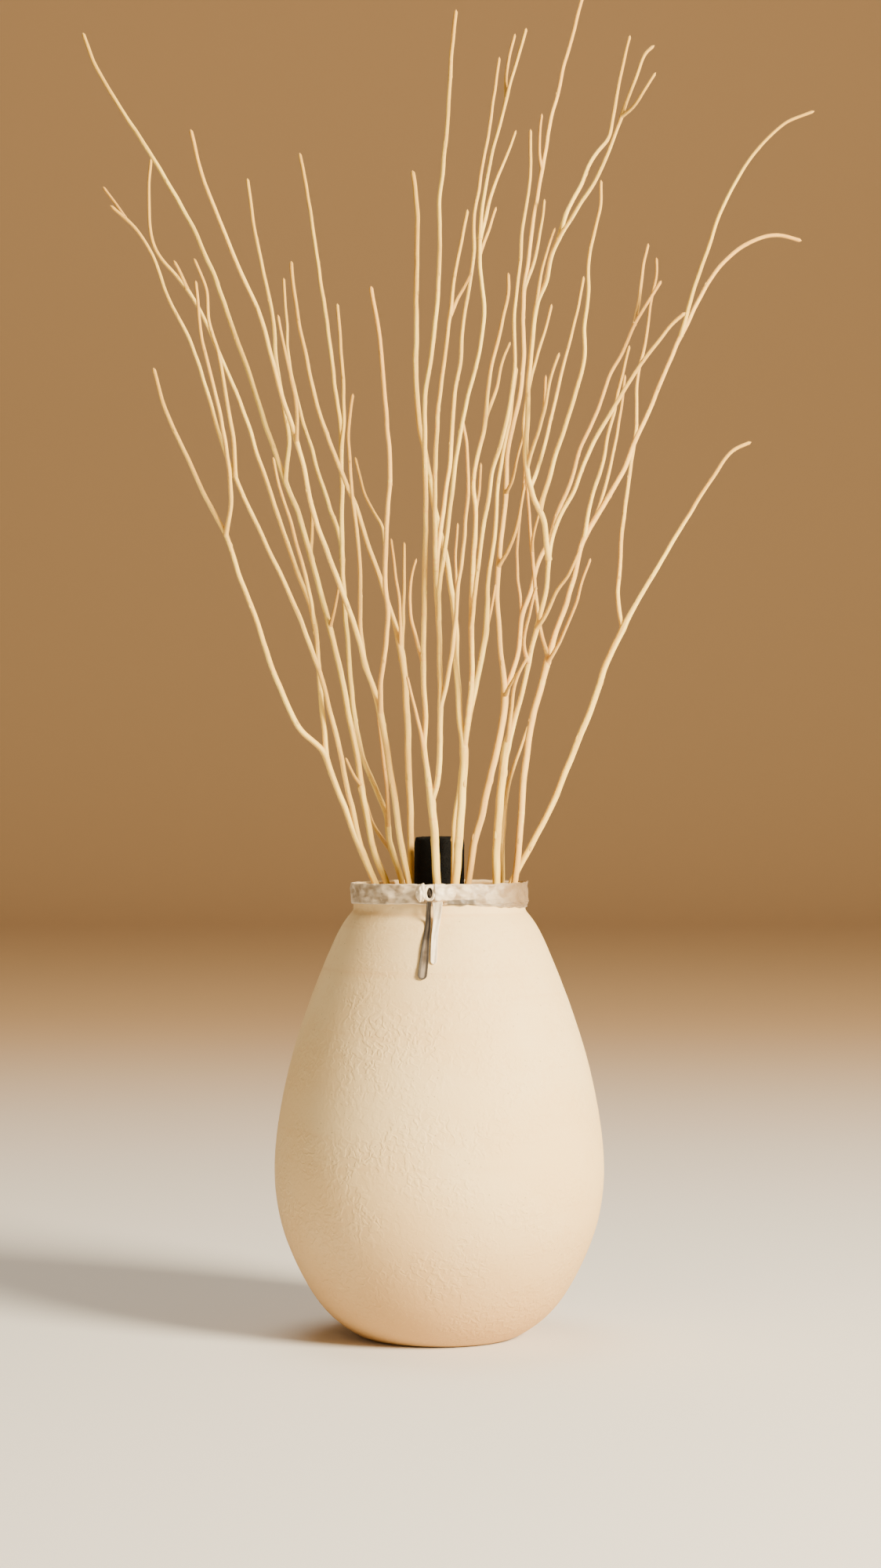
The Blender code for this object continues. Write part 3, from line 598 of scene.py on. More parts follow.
tone = bench.coated(
    STRAW,
    (bench.between(streaks, 0.36, 0.66), STRAW_PALE),
    (bench.between(lot, 0.45, 0.95) * 0.75, PEACH),
    (bench.between(stained, 0.48, 0.70) * 0.50, HONEY),
    (bench.between(streaks, 0.40, 0.24) * 0.45, WEATHERED),
    (bench.between(fibres, 0.56, 0.80) * 0.30, HONEY),
    (tipward * 0.60, HONEY),
    (knotty * 0.22, SCAR),
    (speckled * 0.45, SCAR))
relief = (fibres - 0.5) * 0.24 + (streaks - 0.5) * 0.16 - speckled * 0.05
finished(
    bench, Base_Color=tone, Roughness=0.48 + 0.22 * fibres, Normal=bench.bumps(0.8, relief), IOR=1.46,
    Specular_IOR_Level=0.40)


def noted(bench, name):
    """A value that the middle lines carry at each of their points."""
    return bench.add("GeometryNodeInputNamedAttribute", {"data_type": "FLOAT"}, {"Name": name})


def note(bench, geometry, name, value, kind="FLOAT"):
    """Write such a value, for a later node or the finish to read."""
    settings = {"data_type": kind, "domain": "POINT"}
    inputs = {"Geometry": geometry, "Name": name, "Value": value}
    return bench.add("GeometryNodeStoreNamedAttribute", settings, inputs)


def hump(bench, distance, width):
    """1 at no distance, and falling away on both sides within about the width."""
    return bench.maths("EXPONENT", 0.0 - (distance / width) ** 2.0)


bench, size = new_form("grown_branch", {
    "Ring spacing": 0.0013, "Sides": 12, "Kink": 0.0011, "Kink length": 0.026, "Unevenness": 0.14,
    "Fork swelling": 0.14, "Fork length": 0.0040, "Root flare": 0.25, "Flare length": 0.0035,
    "Bud spacing": 0.034, "Bud length": 0.0016, "Bud swelling": 0.04, "Bud turn": math.radians(137.5),
    "Tip rounding": 0.0016, "Finish": None})
line = bench.add("GeometryNodeMeshToCurve", {}, {"Mesh": size("Geometry")})
line = bench.add("GeometryNodeResampleCurve", {"mode": "LENGTH"}, {
    "Curve": line, "Length": size("Ring spacing")})
spot = bench.add("GeometryNodeInputPosition")
standing = bench.between(bench.split(spot).side("Z"), 0.010, 0.060)
drift = bench.noise(spot, 1.0 / size("Kink length"), detail=1.0).side("Color")
drift = bench.add("ShaderNodeVectorMath", {"operation": "SUBTRACT"}, {0: drift, 1: (0.5, 0.5, 0.5)})
drift = bench.add(
    "ShaderNodeVectorMath", {"operation": "SCALE"}, {0: drift, "Scale": size("Kink") * 2.0 * standing})
line = bench.add("GeometryNodeSetPosition", {}, {"Geometry": line, "Offset": drift})

root_way, tip_way, strand = noted(bench, "from_root"), noted(bench, "to_tip"), noted(bench, "strand")
whole_way = root_way + tip_way
spaces = bench.maths("MAXIMUM", bench.maths("FLOOR", whole_way / size("Bud spacing")), 1.0)
count = root_way / whole_way * spaces + 0.5
at_bud = hump(bench, (bench.maths("FRACT", count) - 0.5) / spaces * whole_way, size("Bud length"))
at_fork = hump(bench, noted(bench, "fork_way"), size("Fork length"))
at_root = bench.maths("EXPONENT", root_way / size("Flare length") * -1.0) * noted(bench, "is_twig")
uneven = bench.noise(bench.joined(root_way * 95.0, strand * 11.3, 0.0), 1.0, detail=2.0) - 0.5
ending = bench.maths("MINIMUM", tip_way / size("Tip rounding"), 1.0)
rounded = bench.maths("SQRT", bench.maths("MAXIMUM", ending * (2.0 - ending), 0.02))
swelling = 1.0 + at_bud * size("Bud swelling") + at_fork * size("Fork swelling")
swelling = swelling + at_root * size("Root flare") + uneven * size("Unevenness")
line = note(bench, line, "ring_radius", noted(bench, "half_width") * swelling * rounded)
knotted = bench.maths("MAXIMUM", at_bud * 0.6, at_fork * 0.7)
line = note(bench, line, "knotty", bench.maths("MAXIMUM", knotted, at_root * 0.8))
line = note(bench, line, "tipward", bench.between(tip_way, TIP_DARKENING, 0.0))
ring_radius = noted(bench, "ring_radius")

ring = bench.add("GeometryNodeCurvePrimitiveCircle", {"mode": "RADIUS"}, {
    "Resolution": size("Sides"), "Radius": 1.0})
ring = note(bench, ring, "around", bench.add("GeometryNodeInputPosition"), "FLOAT_VECTOR")
skin = bench.add("GeometryNodeCurveToMesh", {}, {
    "Curve": line, "Profile Curve": ring, "Scale": ring_radius, "Fill Caps": True})

seats = bench.add("GeometryNodeResampleCurve", {"mode": "LENGTH"}, {
    "Curve": line, "Length": size("Bud spacing")})
tangent = bench.add("GeometryNodeInputTangent")
way_up = bench.add("FunctionNodeAlignRotationToVector", {"axis": "Z"}, {"Vector": tangent})
number = bench.add("GeometryNodeInputIndex")
spin = bench.add("FunctionNodeEulerToRotation", {}, {
    "Euler": bench.joined(0.0, 0.0, number * size("Bud turn") + strand)})
way_up = bench.add("FunctionNodeRotateRotation", {"rotation_space": "LOCAL"}, {
    "Rotation": way_up, "Rotate By": spin})
bud = bench.add("GeometryNodeMeshUVSphere", {}, {"Segments": 8, "Rings": 6, "Radius": 1.0})
bud_spot = bench.split(bench.add("GeometryNodeInputPosition"))
slim = 1.0 - bud_spot.side("Z") * 0.35
bud = bench.add("GeometryNodeSetPosition", {}, {"Geometry": bud, "Position": bench.joined(
    bud_spot.side("X") * 0.22 * slim + 0.90, bud_spot.side("Y") * 0.42 * slim, bud_spot.side("Z") * 1.05)})
bud = note(bench, bud, "knotty", bench.between(bud_spot.side("X"), -0.2, 0.9) * 0.7 + 0.3)
clear = bench.between(root_way, 0.0095, 0.0100) * bench.between(tip_way, 0.0045, 0.0050)
buds = bench.add("GeometryNodeInstanceOnPoints", {}, {
    "Points": seats, "Selection": bench.maths("GREATER_THAN", clear, 0.5), "Instance": bud,
    "Rotation": way_up, "Scale": bench.joined(ring_radius, ring_radius, ring_radius)})
buds = bench.add("GeometryNodeRealizeInstances", {}, {"Geometry": buds})
whole = bench.add("GeometryNodeJoinGeometry")
for part in (skin, buds):
    bench.tree.links.new(part.socket, whole.socket.node.inputs["Geometry"])
branch_form = close_form(bench, whole, size("Finish"))

# Thirteen branches. Each has its stem's depth and width at the mouth, and its routes, root first.
# A route is: its name, the route it grows from, the width at its root and at its tip, the
# depth of its tip, and its points in the photograph's pixels, given along its middle.
# A stem keeps its width at the mouth up to its first fork, and past it narrows to its route's.
BRANCHES = {
    "branch_01": (-0.014, 0.0038, [
        ("stem", None, 0.0036, 0.0021, -0.085, [
            (477, 1122), (464, 1090), (448, 1055), (435, 1020), (423, 985), (413, 960), (385, 933),
            (356, 875), (331, 802), (305, 733), (287, 680), (262, 632), (237, 580), (210, 520),
            (195, 468)]),
        ("inner", "stem", 0.0027, 0.0017, -0.120, [
            (287, 682), (295, 645), (292, 592), (283, 540), (270, 485), (258, 430), (250, 358)]),
        ("middle", "stem", 0.0030, 0.0018, -0.030, [
            (416, 965), (412, 915), (406, 850), (399, 785), (383, 740), (365, 690), (350, 645),
            (328, 580), (302, 500), (279, 450), (256, 397), (228, 355), (199, 320), (190, 255),
            (192, 202)]),
        ("middle_fork", "middle", 0.0024, 0.0017, -0.060, [
            (400, 795), (392, 745), (382, 705), (370, 665), (357, 622), (349, 583)]),
        ("middle_spur", "middle", 0.0023, 0.0016, -0.030, [(238, 368), (229, 345), (222, 332)]),
        ("outer", "stem", 0.0030, 0.0018, -0.060, [
            (463, 1085), (448, 1030), (435, 962), (424, 922), (413, 875), (394, 818), (370, 758),
            (335, 685), (308, 625), (290, 585), (268, 515), (243, 437), (213, 377), (194, 325),
            (172, 290), (140, 262)]),
        ("outer_spur", "outer", 0.0020, 0.0016, -0.050, [(160, 279), (145, 258), (131, 238)]),
        ("outer_fork", "outer", 0.0026, 0.0017, -0.080, [
            (300, 609), (297, 560), (290, 515), (279, 450), (267, 413), (261, 362), (247, 330)]),
    ]),
    "branch_02": (0.014, 0.0037, [
        ("stem", None, 0.0036, 0.0022, 0.080, [
            (492, 1122), (480, 1095), (470, 1050), (461, 1005), (452, 945), (441, 890), (427, 828),
            (411, 765), (395, 705), (378, 650), (356, 590), (325, 500), (292, 403), (250, 300),
            (205, 217), (160, 147), (116, 72), (106, 42)]),
        ("upright", "stem", 0.0028, 0.0020, 0.020, [
            (366, 613), (368, 560), (362, 520), (354, 475), (350, 420), (343, 378), (333, 335),
            (322, 275), (315, 227)]),
        ("left_spur", "stem", 0.0022, 0.0015, 0.004, [(460, 1002), (450, 985), (441, 966)]),
        ("low_spur", "stem", 0.0025, 0.0016, 0.050, [(396, 707), (398, 668), (397, 636)]),
        ("lower_spur", "stem", 0.0022, 0.0014, 0.018, [(420, 800), (428, 772), (433, 744)]),
    ]),
    "branch_03": (0.034, 0.0034, [
        ("stem", None, 0.0032, 0.0021, 0.130, [
            (512, 1122), (504, 1098), (497, 1070), (492, 1036), (482, 1012), (463, 965), (452, 915),
            (448, 870), (443, 810), (439, 750), (436, 690), (436, 600), (434, 545), (425, 475),
            (417, 405), (404, 325), (391, 240), (383, 195)]),
        ("high_twig", "stem", 0.0024, 0.0020, 0.072, [
            (436, 572), (438, 540), (439, 510), (436, 460), (431, 387)]),
        ("long_twig", "stem", 0.0029, 0.0018, 0.160, [
            (438, 715), (433, 686), (420, 645), (404, 597), (391, 552), (377, 500), (368, 460),
            (366, 410), (362, 355)]),
        ("low_twig", "stem", 0.0026, 0.0018, 0.030, [
            (496, 1056), (495, 1030), (492, 985), (486, 940), (481, 905)]),
        ("side_twig", "stem", 0.0028, 0.0017, 0.050, [
            (500, 1087), (488, 1070), (475, 1047), (467, 1022)]),
    ]),
    "branch_04": (-0.030, 0.0036, [
        ("stem", None, 0.0034, 0.0021, -0.080, [
            (520, 1122), (515, 1095), (507, 1045), (499, 985), (490, 938), (481, 898), (470, 858),
            (456, 808), (433, 747), (415, 700), (400, 655), (386, 590), (373, 545), (358, 500),
            (346, 455), (332, 405), (308, 350), (285, 293), (260, 232), (248, 185), (243, 165)]),
        ("right_twig", "stem", 0.0029, 0.0023, -0.130, [
            (484, 912), (485, 880), (492, 825), (494, 795), (491, 730), (494, 650), (497, 600),
            (494, 540), (486, 455), (479, 400), (474, 365)]),
        ("middle_twig", "stem", 0.0026, 0.0019, -0.020, [
            (466, 845), (460, 800), (458, 720), (452, 655), (447, 600), (444, 555), (448, 520),
            (451, 502)]),
        ("faint_twig", "right_twig", 0.0019, 0.0015, -0.055, [
            (493, 705), (487, 672), (475, 650), (463, 625), (453, 583)]),
        ("left_twig", "stem", 0.0022, 0.0016, -0.100, [
            (382, 562), (379, 530), (375, 500), (368, 465), (360, 432), (355, 402)]),
    ]),
    "branch_05": (0.022, 0.0038, [
        ("stem", None, 0.0035, 0.0022, 0.055, [
            (526, 1122), (525, 1090), (522, 1000), (519, 905), (514, 840), (493, 765), (472, 703),
            (446, 625), (432, 592), (416, 550), (401, 500), (384, 425), (376, 375), (372, 333)]),
        ("right_twig", "stem", 0.0024, 0.0017, 0.060, [(513, 835), (514, 790), (516, 750), (516, 692)]),
        ("left_twig", "stem", 0.0022, 0.0016, 0.020, [(511, 828), (509, 765), (502, 712), (499, 687)]),
    ]),
    "branch_06": (-0.041, 0.0045, [
        ("stem", None, 0.0032, 0.0021, -0.140, [
            (557, 1122), (556, 1090), (551, 1025), (546, 990), (541, 952), (543, 920), (540, 865),
            (539, 825), (542, 740), (543, 622), (542, 570), (543, 500), (549, 460), (556, 400),
            (560, 340), (560, 270), (566, 200), (572, 130), (576, 70), (582, 12)]),
        ("thin_twig", "stem", 0.0024, 0.0015, -0.062, [(542, 960), (536, 930), (527, 893), (519, 862)]),
        ("hook_twig", "stem", 0.0024, 0.0015, -0.040, [
            (539, 850), (532, 822), (524, 790), (525, 742), (532, 713)]),
        ("right_stem", "stem", 0.0032, 0.0019, -0.090, [
            (551, 1022), (558, 1000), (560, 975), (562, 905), (560, 830), (557, 750), (555, 622),
            (558, 540), (563, 490), (572, 415), (582, 340), (596, 268)]),
        ("bent_twig", "right_stem", 0.0026, 0.0018, -0.095, [
            (562, 902), (571, 865), (580, 795), (584, 755), (593, 670), (597, 620), (595, 570),
            (590, 535)]),
        ("tall_twig", "right_stem", 0.0027, 0.0018, -0.060, [
            (557, 730), (560, 690), (567, 645), (573, 600), (577, 550), (580, 500), (587, 465),
            (589, 425), (598, 370), (605, 320), (606, 270), (615, 210), (626, 150), (637, 73)]),
        ("tallest_twig", "right_stem", 0.0027, 0.0018, -0.150, [
            (560, 790), (561, 750), (565, 715), (570, 675), (577, 622), (582, 580), (592, 530),
            (603, 483), (613, 443), (617, 390), (612, 335), (613, 280), (624, 215), (641, 145), (656, 85),
            (672, 35)]),
        ("leaning_spur", "tallest_twig", 0.0025, 0.0016, -0.125, [
            (613, 305), (620, 272), (630, 238), (642, 207), (659, 165)]),
        ("short_spur", "tallest_twig", 0.0020, 0.0016, -0.120, [
            (612, 326), (617, 310), (626, 285), (634, 262)]),
        ("top_spur", "tallest_twig", 0.0019, 0.0016, -0.140, [
            (645, 128), (645, 92), (652, 60), (657, 42)]),
        ("cross_spur", "right_stem", 0.0023, 0.0016, -0.080, [
            (576, 404), (584, 380), (592, 367), (602, 347)]),
        ("faint_spur", "bent_twig", 0.0016, 0.0014, -0.070, [(583, 760), (581, 715), (584, 668)]),
    ]),
    "branch_07": (-0.039, 0.0046, [
        ("stem", None, 0.0038, 0.0026, -0.020, [
            (581, 1122), (584, 1095), (588, 1040), (590, 1000), (592, 965), (587, 915), (582, 845),
            (580, 780), (573, 733), (564, 690), (552, 640), (547, 605), (540, 570), (533, 525),
            (531, 480), (531, 380), (532, 270), (531, 245), (526, 217)]),
        ("right_twig", "stem", 0.0032, 0.0020, -0.060, [
            (592, 957), (596, 925), (602, 860), (602, 760), (606, 650), (604, 622), (609, 583),
            (618, 545), (622, 500), (630, 455), (640, 410), (648, 370), (647, 348)]),
        ("tall_twig", "right_twig", 0.0026, 0.0018, -0.110, [
            (603, 800), (607, 745), (611, 710), (622, 640), (630, 595), (640, 560), (650, 515),
            (657, 460), (656, 400), (662, 345), (668, 280), (675, 235), (676, 165)]),
        ("short_spur", "right_twig", 0.0022, 0.0016, -0.040, [
            (622, 533), (632, 500), (640, 462), (650, 436)]),
        ("parallel_twig", "right_twig", 0.0021, 0.0016, -0.030, [
            (602, 690), (608, 655), (611, 625), (613, 590)]),
    ]),
    "branch_08": (-0.025, 0.0034, [
        ("stem", None, 0.0034, 0.0021, 0.030, [
            (579, 1122), (580, 1070), (582, 1040), (587, 1000), (592, 960), (597, 925), (603, 893),
            (612, 855), (620, 800), (623, 742), (633, 665), (635, 620), (641, 580), (649, 540),
            (655, 500), (659, 468)]),
        ("spur", "stem", 0.0020, 0.0014, 0.022, [(622, 805), (628, 775), (632, 745)]),
    ]),
    "branch_09": (0.034, 0.0041, [
        ("stem", None, 0.0034, 0.0022, 0.120, [
            (597, 1122), (604, 1083), (614, 1040), (622, 1003), (632, 970), (640, 925), (643, 898),
            (643, 870), (638, 825), (635, 735), (640, 675), (646, 622), (647, 580), (655, 540),
            (664, 500), (668, 455), (667, 400), (671, 350), (680, 285), (691, 220), (701, 160), (717, 95),
            (733, 32), (747, -18)]),
        ("high_spur", "stem", 0.0023, 0.0017, 0.090, [
            (671, 370), (680, 335), (687, 305), (694, 270), (695, 254)]),
        ("higher_spur", "stem", 0.0020, 0.0016, 0.094, [(692, 216), (688, 196), (688, 170), (691, 144)]),
        ("low_spur", "stem", 0.0025, 0.0016, 0.035, [
            (637, 725), (648, 702), (656, 684), (664, 655), (670, 615)]),
        ("inner_spur", "stem", 0.0021, 0.0015, 0.034, [(647, 630), (654, 611), (660, 585), (668, 555)]),
        ("lowest_spur", "stem", 0.0022, 0.0015, 0.026, [(645, 888), (652, 870), (661, 857)]),
        ("right_stem", "stem", 0.0029, 0.0020, 0.080, [
            (644, 893), (650, 870), (660, 835), (666, 788), (677, 752), (688, 716), (702, 685),
            (711, 652), (726, 620), (742, 568), (765, 515), (780, 475), (796, 445), (810, 412),
            (825, 388), (844, 358)]),
        ("right_spur", "right_stem", 0.0024, 0.0018, 0.100, [
            (809, 414), (817, 375), (821, 340), (827, 310)]),
        ("thin_twig", "right_stem", 0.0020, 0.0015, 0.085, [
            (667, 787), (662, 750), (660, 700), (663, 660), (667, 620), (669, 585)]),
    ]),
    "branch_10": (-0.022, 0.0046, [
        ("stem", None, 0.0032, 0.0021, -0.040, [
            (633, 1122), (634, 1060), (640, 1000), (647, 950), (657, 915), (668, 875), (677, 832),
            (688, 790), (698, 745), (702, 705), (708, 675), (718, 652), (732, 625), (745, 590),
            (770, 542), (790, 510), (803, 487), (818, 463), (835, 440), (855, 415), (874, 399)]),
        ("left_stem", "stem", 0.0032, 0.0018, -0.130, [
            (701, 713), (693, 662), (680, 632), (672, 600), (672, 560), (674, 520), (675, 480),
            (680, 430), (686, 385), (697, 358), (705, 325), (715, 302), (737, 265), (763, 222),
            (774, 198), (788, 160), (799, 130), (812, 97), (826, 66), (835, 58)]),
        ("crossing_twig", "left_stem", 0.0025, 0.0017, -0.085, [
            (713, 306), (725, 268), (740, 238), (752, 210), (764, 192), (776, 178), (782, 155),
            (787, 120), (795, 80), (804, 45)]),
        ("top_spur", "left_stem", 0.0020, 0.0016, -0.140, [
            (793, 149), (806, 138), (822, 115), (836, 92)]),
        ("thin_spur", "left_stem", 0.0020, 0.0015, -0.110, [
            (685, 394), (688, 360), (693, 340), (699, 320), (709, 290)]),
        ("right_twig", "left_stem", 0.0027, 0.0018, -0.090, [
            (688, 653), (697, 622), (708, 580), (721, 543), (734, 502), (745, 455), (745, 420),
            (751, 370), (751, 340), (757, 300), (766, 260), (767, 230)]),
        ("middle_twig", "left_stem", 0.0023, 0.0017, -0.035, [
            (676, 622), (683, 605), (694, 572), (704, 530), (714, 485), (724, 445), (736, 398),
            (744, 352)]),
        ("short_twig", "left_stem", 0.0021, 0.0017, -0.090, [
            (672, 598), (684, 560), (695, 520), (706, 472), (714, 450)]),
        ("second_strand", "left_stem", 0.0024, 0.0017, -0.045, [
            (672, 578), (669, 540), (673, 500), (685, 455), (695, 420), (704, 387)]),
        ("low_twig", "stem", 0.0026, 0.0016, -0.050, [
            (685, 802), (697, 782), (710, 755), (725, 732), (740, 702)]),
        ("tiny_twig", "short_twig", 0.0017, 0.0015, -0.080, [(694, 524), (696, 502), (697, 478)]),
        ("left_twig", "stem", 0.0024, 0.0015, -0.050, [
            (674, 846), (669, 822), (672, 795), (678, 770), (685, 748)]),
        ("left_strand", "stem", 0.0026, 0.0018, -0.038, [
            (647, 952), (652, 910), (655, 880), (662, 858), (673, 838)]),
    ]),
    "branch_11": (0.003, 0.0033, [
        ("stem", None, 0.0034, 0.0016, 0.016, [
            (640, 1122), (640, 1090), (643, 1045), (647, 1005), (656, 975), (664, 955), (674, 926)]),
    ]),
    "branch_12": (-0.006, 0.0038, [
        ("stem", None, 0.0035, 0.0022, 0.070, [
            (656, 1122), (661, 1090), (664, 1045), (669, 980), (678, 925), (689, 880), (698, 845),
            (708, 808), (720, 778), (731, 742), (742, 697), (757, 667), (777, 632), (795, 600),
            (811, 560), (833, 512), (848, 475), (863, 440), (878, 412), (890, 385), (905, 358),
            (925, 333), (955, 310), (990, 300), (1022, 308)]),
        ("high_fork", "stem", 0.0027, 0.0017, 0.020, [
            (869, 430), (878, 395), (888, 362), (903, 318), (918, 275), (940, 228), (972, 184),
            (1005, 155), (1038, 142)]),
        ("left_twig", "stem", 0.0025, 0.0018, 0.020, [
            (748, 688), (755, 635), (768, 595), (776, 555), (784, 525), (794, 475), (803, 440)]),
        ("middle_twig", "stem", 0.0023, 0.0017, 0.045, [
            (761, 662), (771, 625), (780, 585), (790, 535), (798, 478)]),
        ("low_twig", "stem", 0.0024, 0.0016, -0.015, [
            (700, 848), (710, 825), (722, 798), (735, 770), (743, 740), (753, 711)]),
        ("inner_twig", "stem", 0.0024, 0.0017, 0.012, [
            (700, 842), (690, 805), (684, 760), (680, 710), (675, 655), (671, 605)]),
        ("inner_fork", "inner_twig", 0.0019, 0.0015, -0.004, [(681, 702), (682, 680), (687, 655)]),
    ]),
    "branch_13": (0.008, 0.0036, [
        ("stem", None, 0.0034, 0.0021, 0.060, [
            (655, 1122), (668, 1097), (683, 1066), (704, 1026), (723, 980), (742, 935), (765, 871),
            (781, 828), (795, 798), (821, 754), (857, 693), (885, 645), (911, 607), (935, 575),
            (959, 564)]),
        ("upright", "stem", 0.0027, 0.0018, 0.120, [
            (793, 802), (788, 755), (791, 715), (793, 680), (801, 620), (808, 572), (812, 540),
            (814, 475), (824, 430), (829, 390), (837, 345), (837, 328)]),
    ]),
}


def sighted(place):
    """The real place of what the camera sees at a pixel, at a depth behind the vase's axis."""
    across_px, down_px, depth = place
    ray = Vector((across_px - FRAME_CENTRE_PX[0], FOCAL_LENGTH_PX, FRAME_CENTRE_PX[1] - down_px))
    ray.rotate(Euler((EYE_PITCH, 0.0, 0.0)))
    return EYE + ray * ((depth - EYE.y) / ray.y)


def travelled(points):
    """How far along its length each point lies, in the points' own measure."""
    lengths = [0.0]
    for start, end in zip(points, points[1:]):
        lengths.append(lengths[-1] + math.dist(start, end))
    return lengths


def stem_places(points, mouth_depth, tip_depth):
    """A stem bends away in depth more and more towards its tip."""
    lengths = travelled(points)
    swing = tip_depth - mouth_depth
    return [
        Vector((px, py, mouth_depth + swing * (length / lengths[-1]) ** STEM_SWING))
        for (px, py), length in zip(points, lengths)]


def twig_places(points, parent_places, tip_depth):
    """A twig starts on its parent's middle line and turns away in depth soonest at its root."""
    root = min(parent_places, key=lambda place: math.dist(place[:2], points[0]))
    lengths = travelled(points)
    swing = tip_depth - root.z
    places = [root.copy()]
    for (px, py), length in zip(points[1:], lengths[1:]):
        places.append(Vector((px, py, root.z + swing * math.sin(length / lengths[-1] * math.pi / 2))))
    return places


def smooth_places(places, spacing):
    """A smooth route in the photograph's pixels, with its depth brought to the same measure."""
    pixels = FOCAL_LENGTH_PX / -EYE.y
    even = [Vector((place.x, place.y, place.z * pixels)) for place in places]
    return [Vector((place.x, place.y, place.z / pixels)) for place in fair_curve(even, spacing * pixels)]


def stem_in_vase(mouth, lean):
    """The hidden stretch of a stem, from its foot on the vase's floor up to the mouth."""
    foot = Vector((mouth.x, mouth.y, 0.0)) * FOOT_DRAW
    foot.rotate(Euler((0.0, 0.0, FOOT_TURN)))
    foot.z = FLOOR_THICKNESS + CORE_LIFT
    upright = foot + Vector((0.0, 0.0, FOOT_UPRIGHT))
    rising = [
        arc(upright, mouth - upright, mouth, lean * COLLAR_PULL, piece / HIDDEN_PIECES)
        for piece in range(HIDDEN_PIECES)]
    return [foot, foot.lerp(upright, 0.5)] + rising


def nearest_length(line, lengths, fork):
    """How far along a line it passes nearest to a fork."""
    nearest = min(range(len(line)), key=lambda i: (line[i] - fork).length)
    return lengths[nearest]


def branch_lines(name, mouth_depth, mouth_width, routes):
    """The middle lines of a stem and its twigs, and what the form needs to know at each point."""
    places_of = {}
    forks_of = {}
    strands = []
    for route_name, parent, root_width, tip_width, tip_depth, points in routes:
        if parent is None:
            places = stem_places(points, mouth_depth, tip_depth)
        else:
            places = twig_places(points, places_of[parent], tip_depth)
        places = smooth_places(places, STRAND_STEP)
        places_of[route_name] = smooth_places(places, PARENT_STEP)
        line = [sighted(place) for place in places]
        hidden = []
        if parent is None:
            hidden = stem_in_vase(line[0], (line[LEAN_POINTS] - line[0]).normalized())
        else:
            forks_of.setdefault(parent, []).append(line[0])
        strands.append((route_name, parent, root_width, tip_width, hidden + line, len(hidden)))

    spots, edges = [], []
    told = {key: [] for key in ("half_width", "from_root", "to_tip", "fork_way", "is_twig", "strand")}
    for number, (route_name, parent, root_width, tip_width, line, even_points) in enumerate(strands):
        lengths = travelled(line)
        start = lengths[even_points]
        forks = forks_of.get(route_name, [])
        narrows_at = min((nearest_length(line, lengths, fork) for fork in forks), default=start)
        first = len(spots)
        for spot, length in zip(line, lengths):
            slimmed = max(0.0, length - start) / (lengths[-1] - start)
            width = root_width + (tip_width - root_width) * slimmed
            if parent is None:
                narrowed = min(1.0, max(0.0, (length - narrows_at) / FORK_NARROWING))
                width = mouth_width * (1 - narrowed) + width * narrowed
            told["half_width"].append(width / 2)
            told["from_root"].append(length)
            told["to_tip"].append(lengths[-1] - length)
            told["fork_way"].append(min(((spot - fork).length for fork in forks), default=1.0))
            told["is_twig"].append(0.0 if parent is None else 1.0)
            told["strand"].append(number + STRAND_SEED * int(name[-2:]))
            spots.append(spot)
        edges += [(i, i + 1) for i in range(first, len(spots) - 1)]
    mesh = bpy.data.meshes.new(name + "_lines")
    mesh.from_pydata(spots, edges, [])
    for key, values in told.items():
        mesh.attributes.new(key, "FLOAT", "POINT").data.foreach_set("value", values)
    return mesh


for name, (mouth_depth, mouth_width, routes) in BRANCHES.items():
    lines = branch_lines(name, mouth_depth, mouth_width, routes)
    willow = formed(name.replace("branch", "willow"), lines, branch_form, wood_finish)
    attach(willow, "root")
    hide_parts(name)


# The ribbon
# A thin, limp satin ribbon is wound two and a half times round the collar, up to the rim. Its
# turns cross at small angles and are drawn in tight, so they crease along and across.
RIBBON_WIDTH = 0.0112
RIBBON_THICKNESS = 0.00022
HEM = 0.0017
WARP_PITCH = 0.00026
WEFT_PITCH = 0.00030
RIBBON_TURNS = 2.45
RIBBON_START = math.radians(-70.0)
RIBBON_LIFT = 0.00030
TURN_STEP = 0.00036
ROWS_ALONG = 900
PLACES_ACROSS = 20
FOLDS = 0.00075
PUCKERS = 0.00095
CREASES = 0.00024
LOOSENESS = 0.00010
RUFFLES = 0.00055
SLIPS = 0.00025
RIBBON_MIDDLE = 0.2530
FRONT_RISE = 0.0019
RIGHT_DROP = 0.0009
RIGHT_SPREAD = 0.0018
RIGHT_SPREAD_TURN = 1.2
BACK_DROP = 0.0012

SATIN = (0.450, 0.340, 0.215)
SATIN_PALE = (0.860, 0.710, 0.510)
SATIN_DEEP = (0.290, 0.205, 0.115)
SATIN_PAINTED_LIT = (0.970, 0.840, 0.640)
SATIN_THIN = (0.225, 0.135, 0.056)
SATIN_PAINTED_SHADOW = (0.105, 0.083, 0.058)


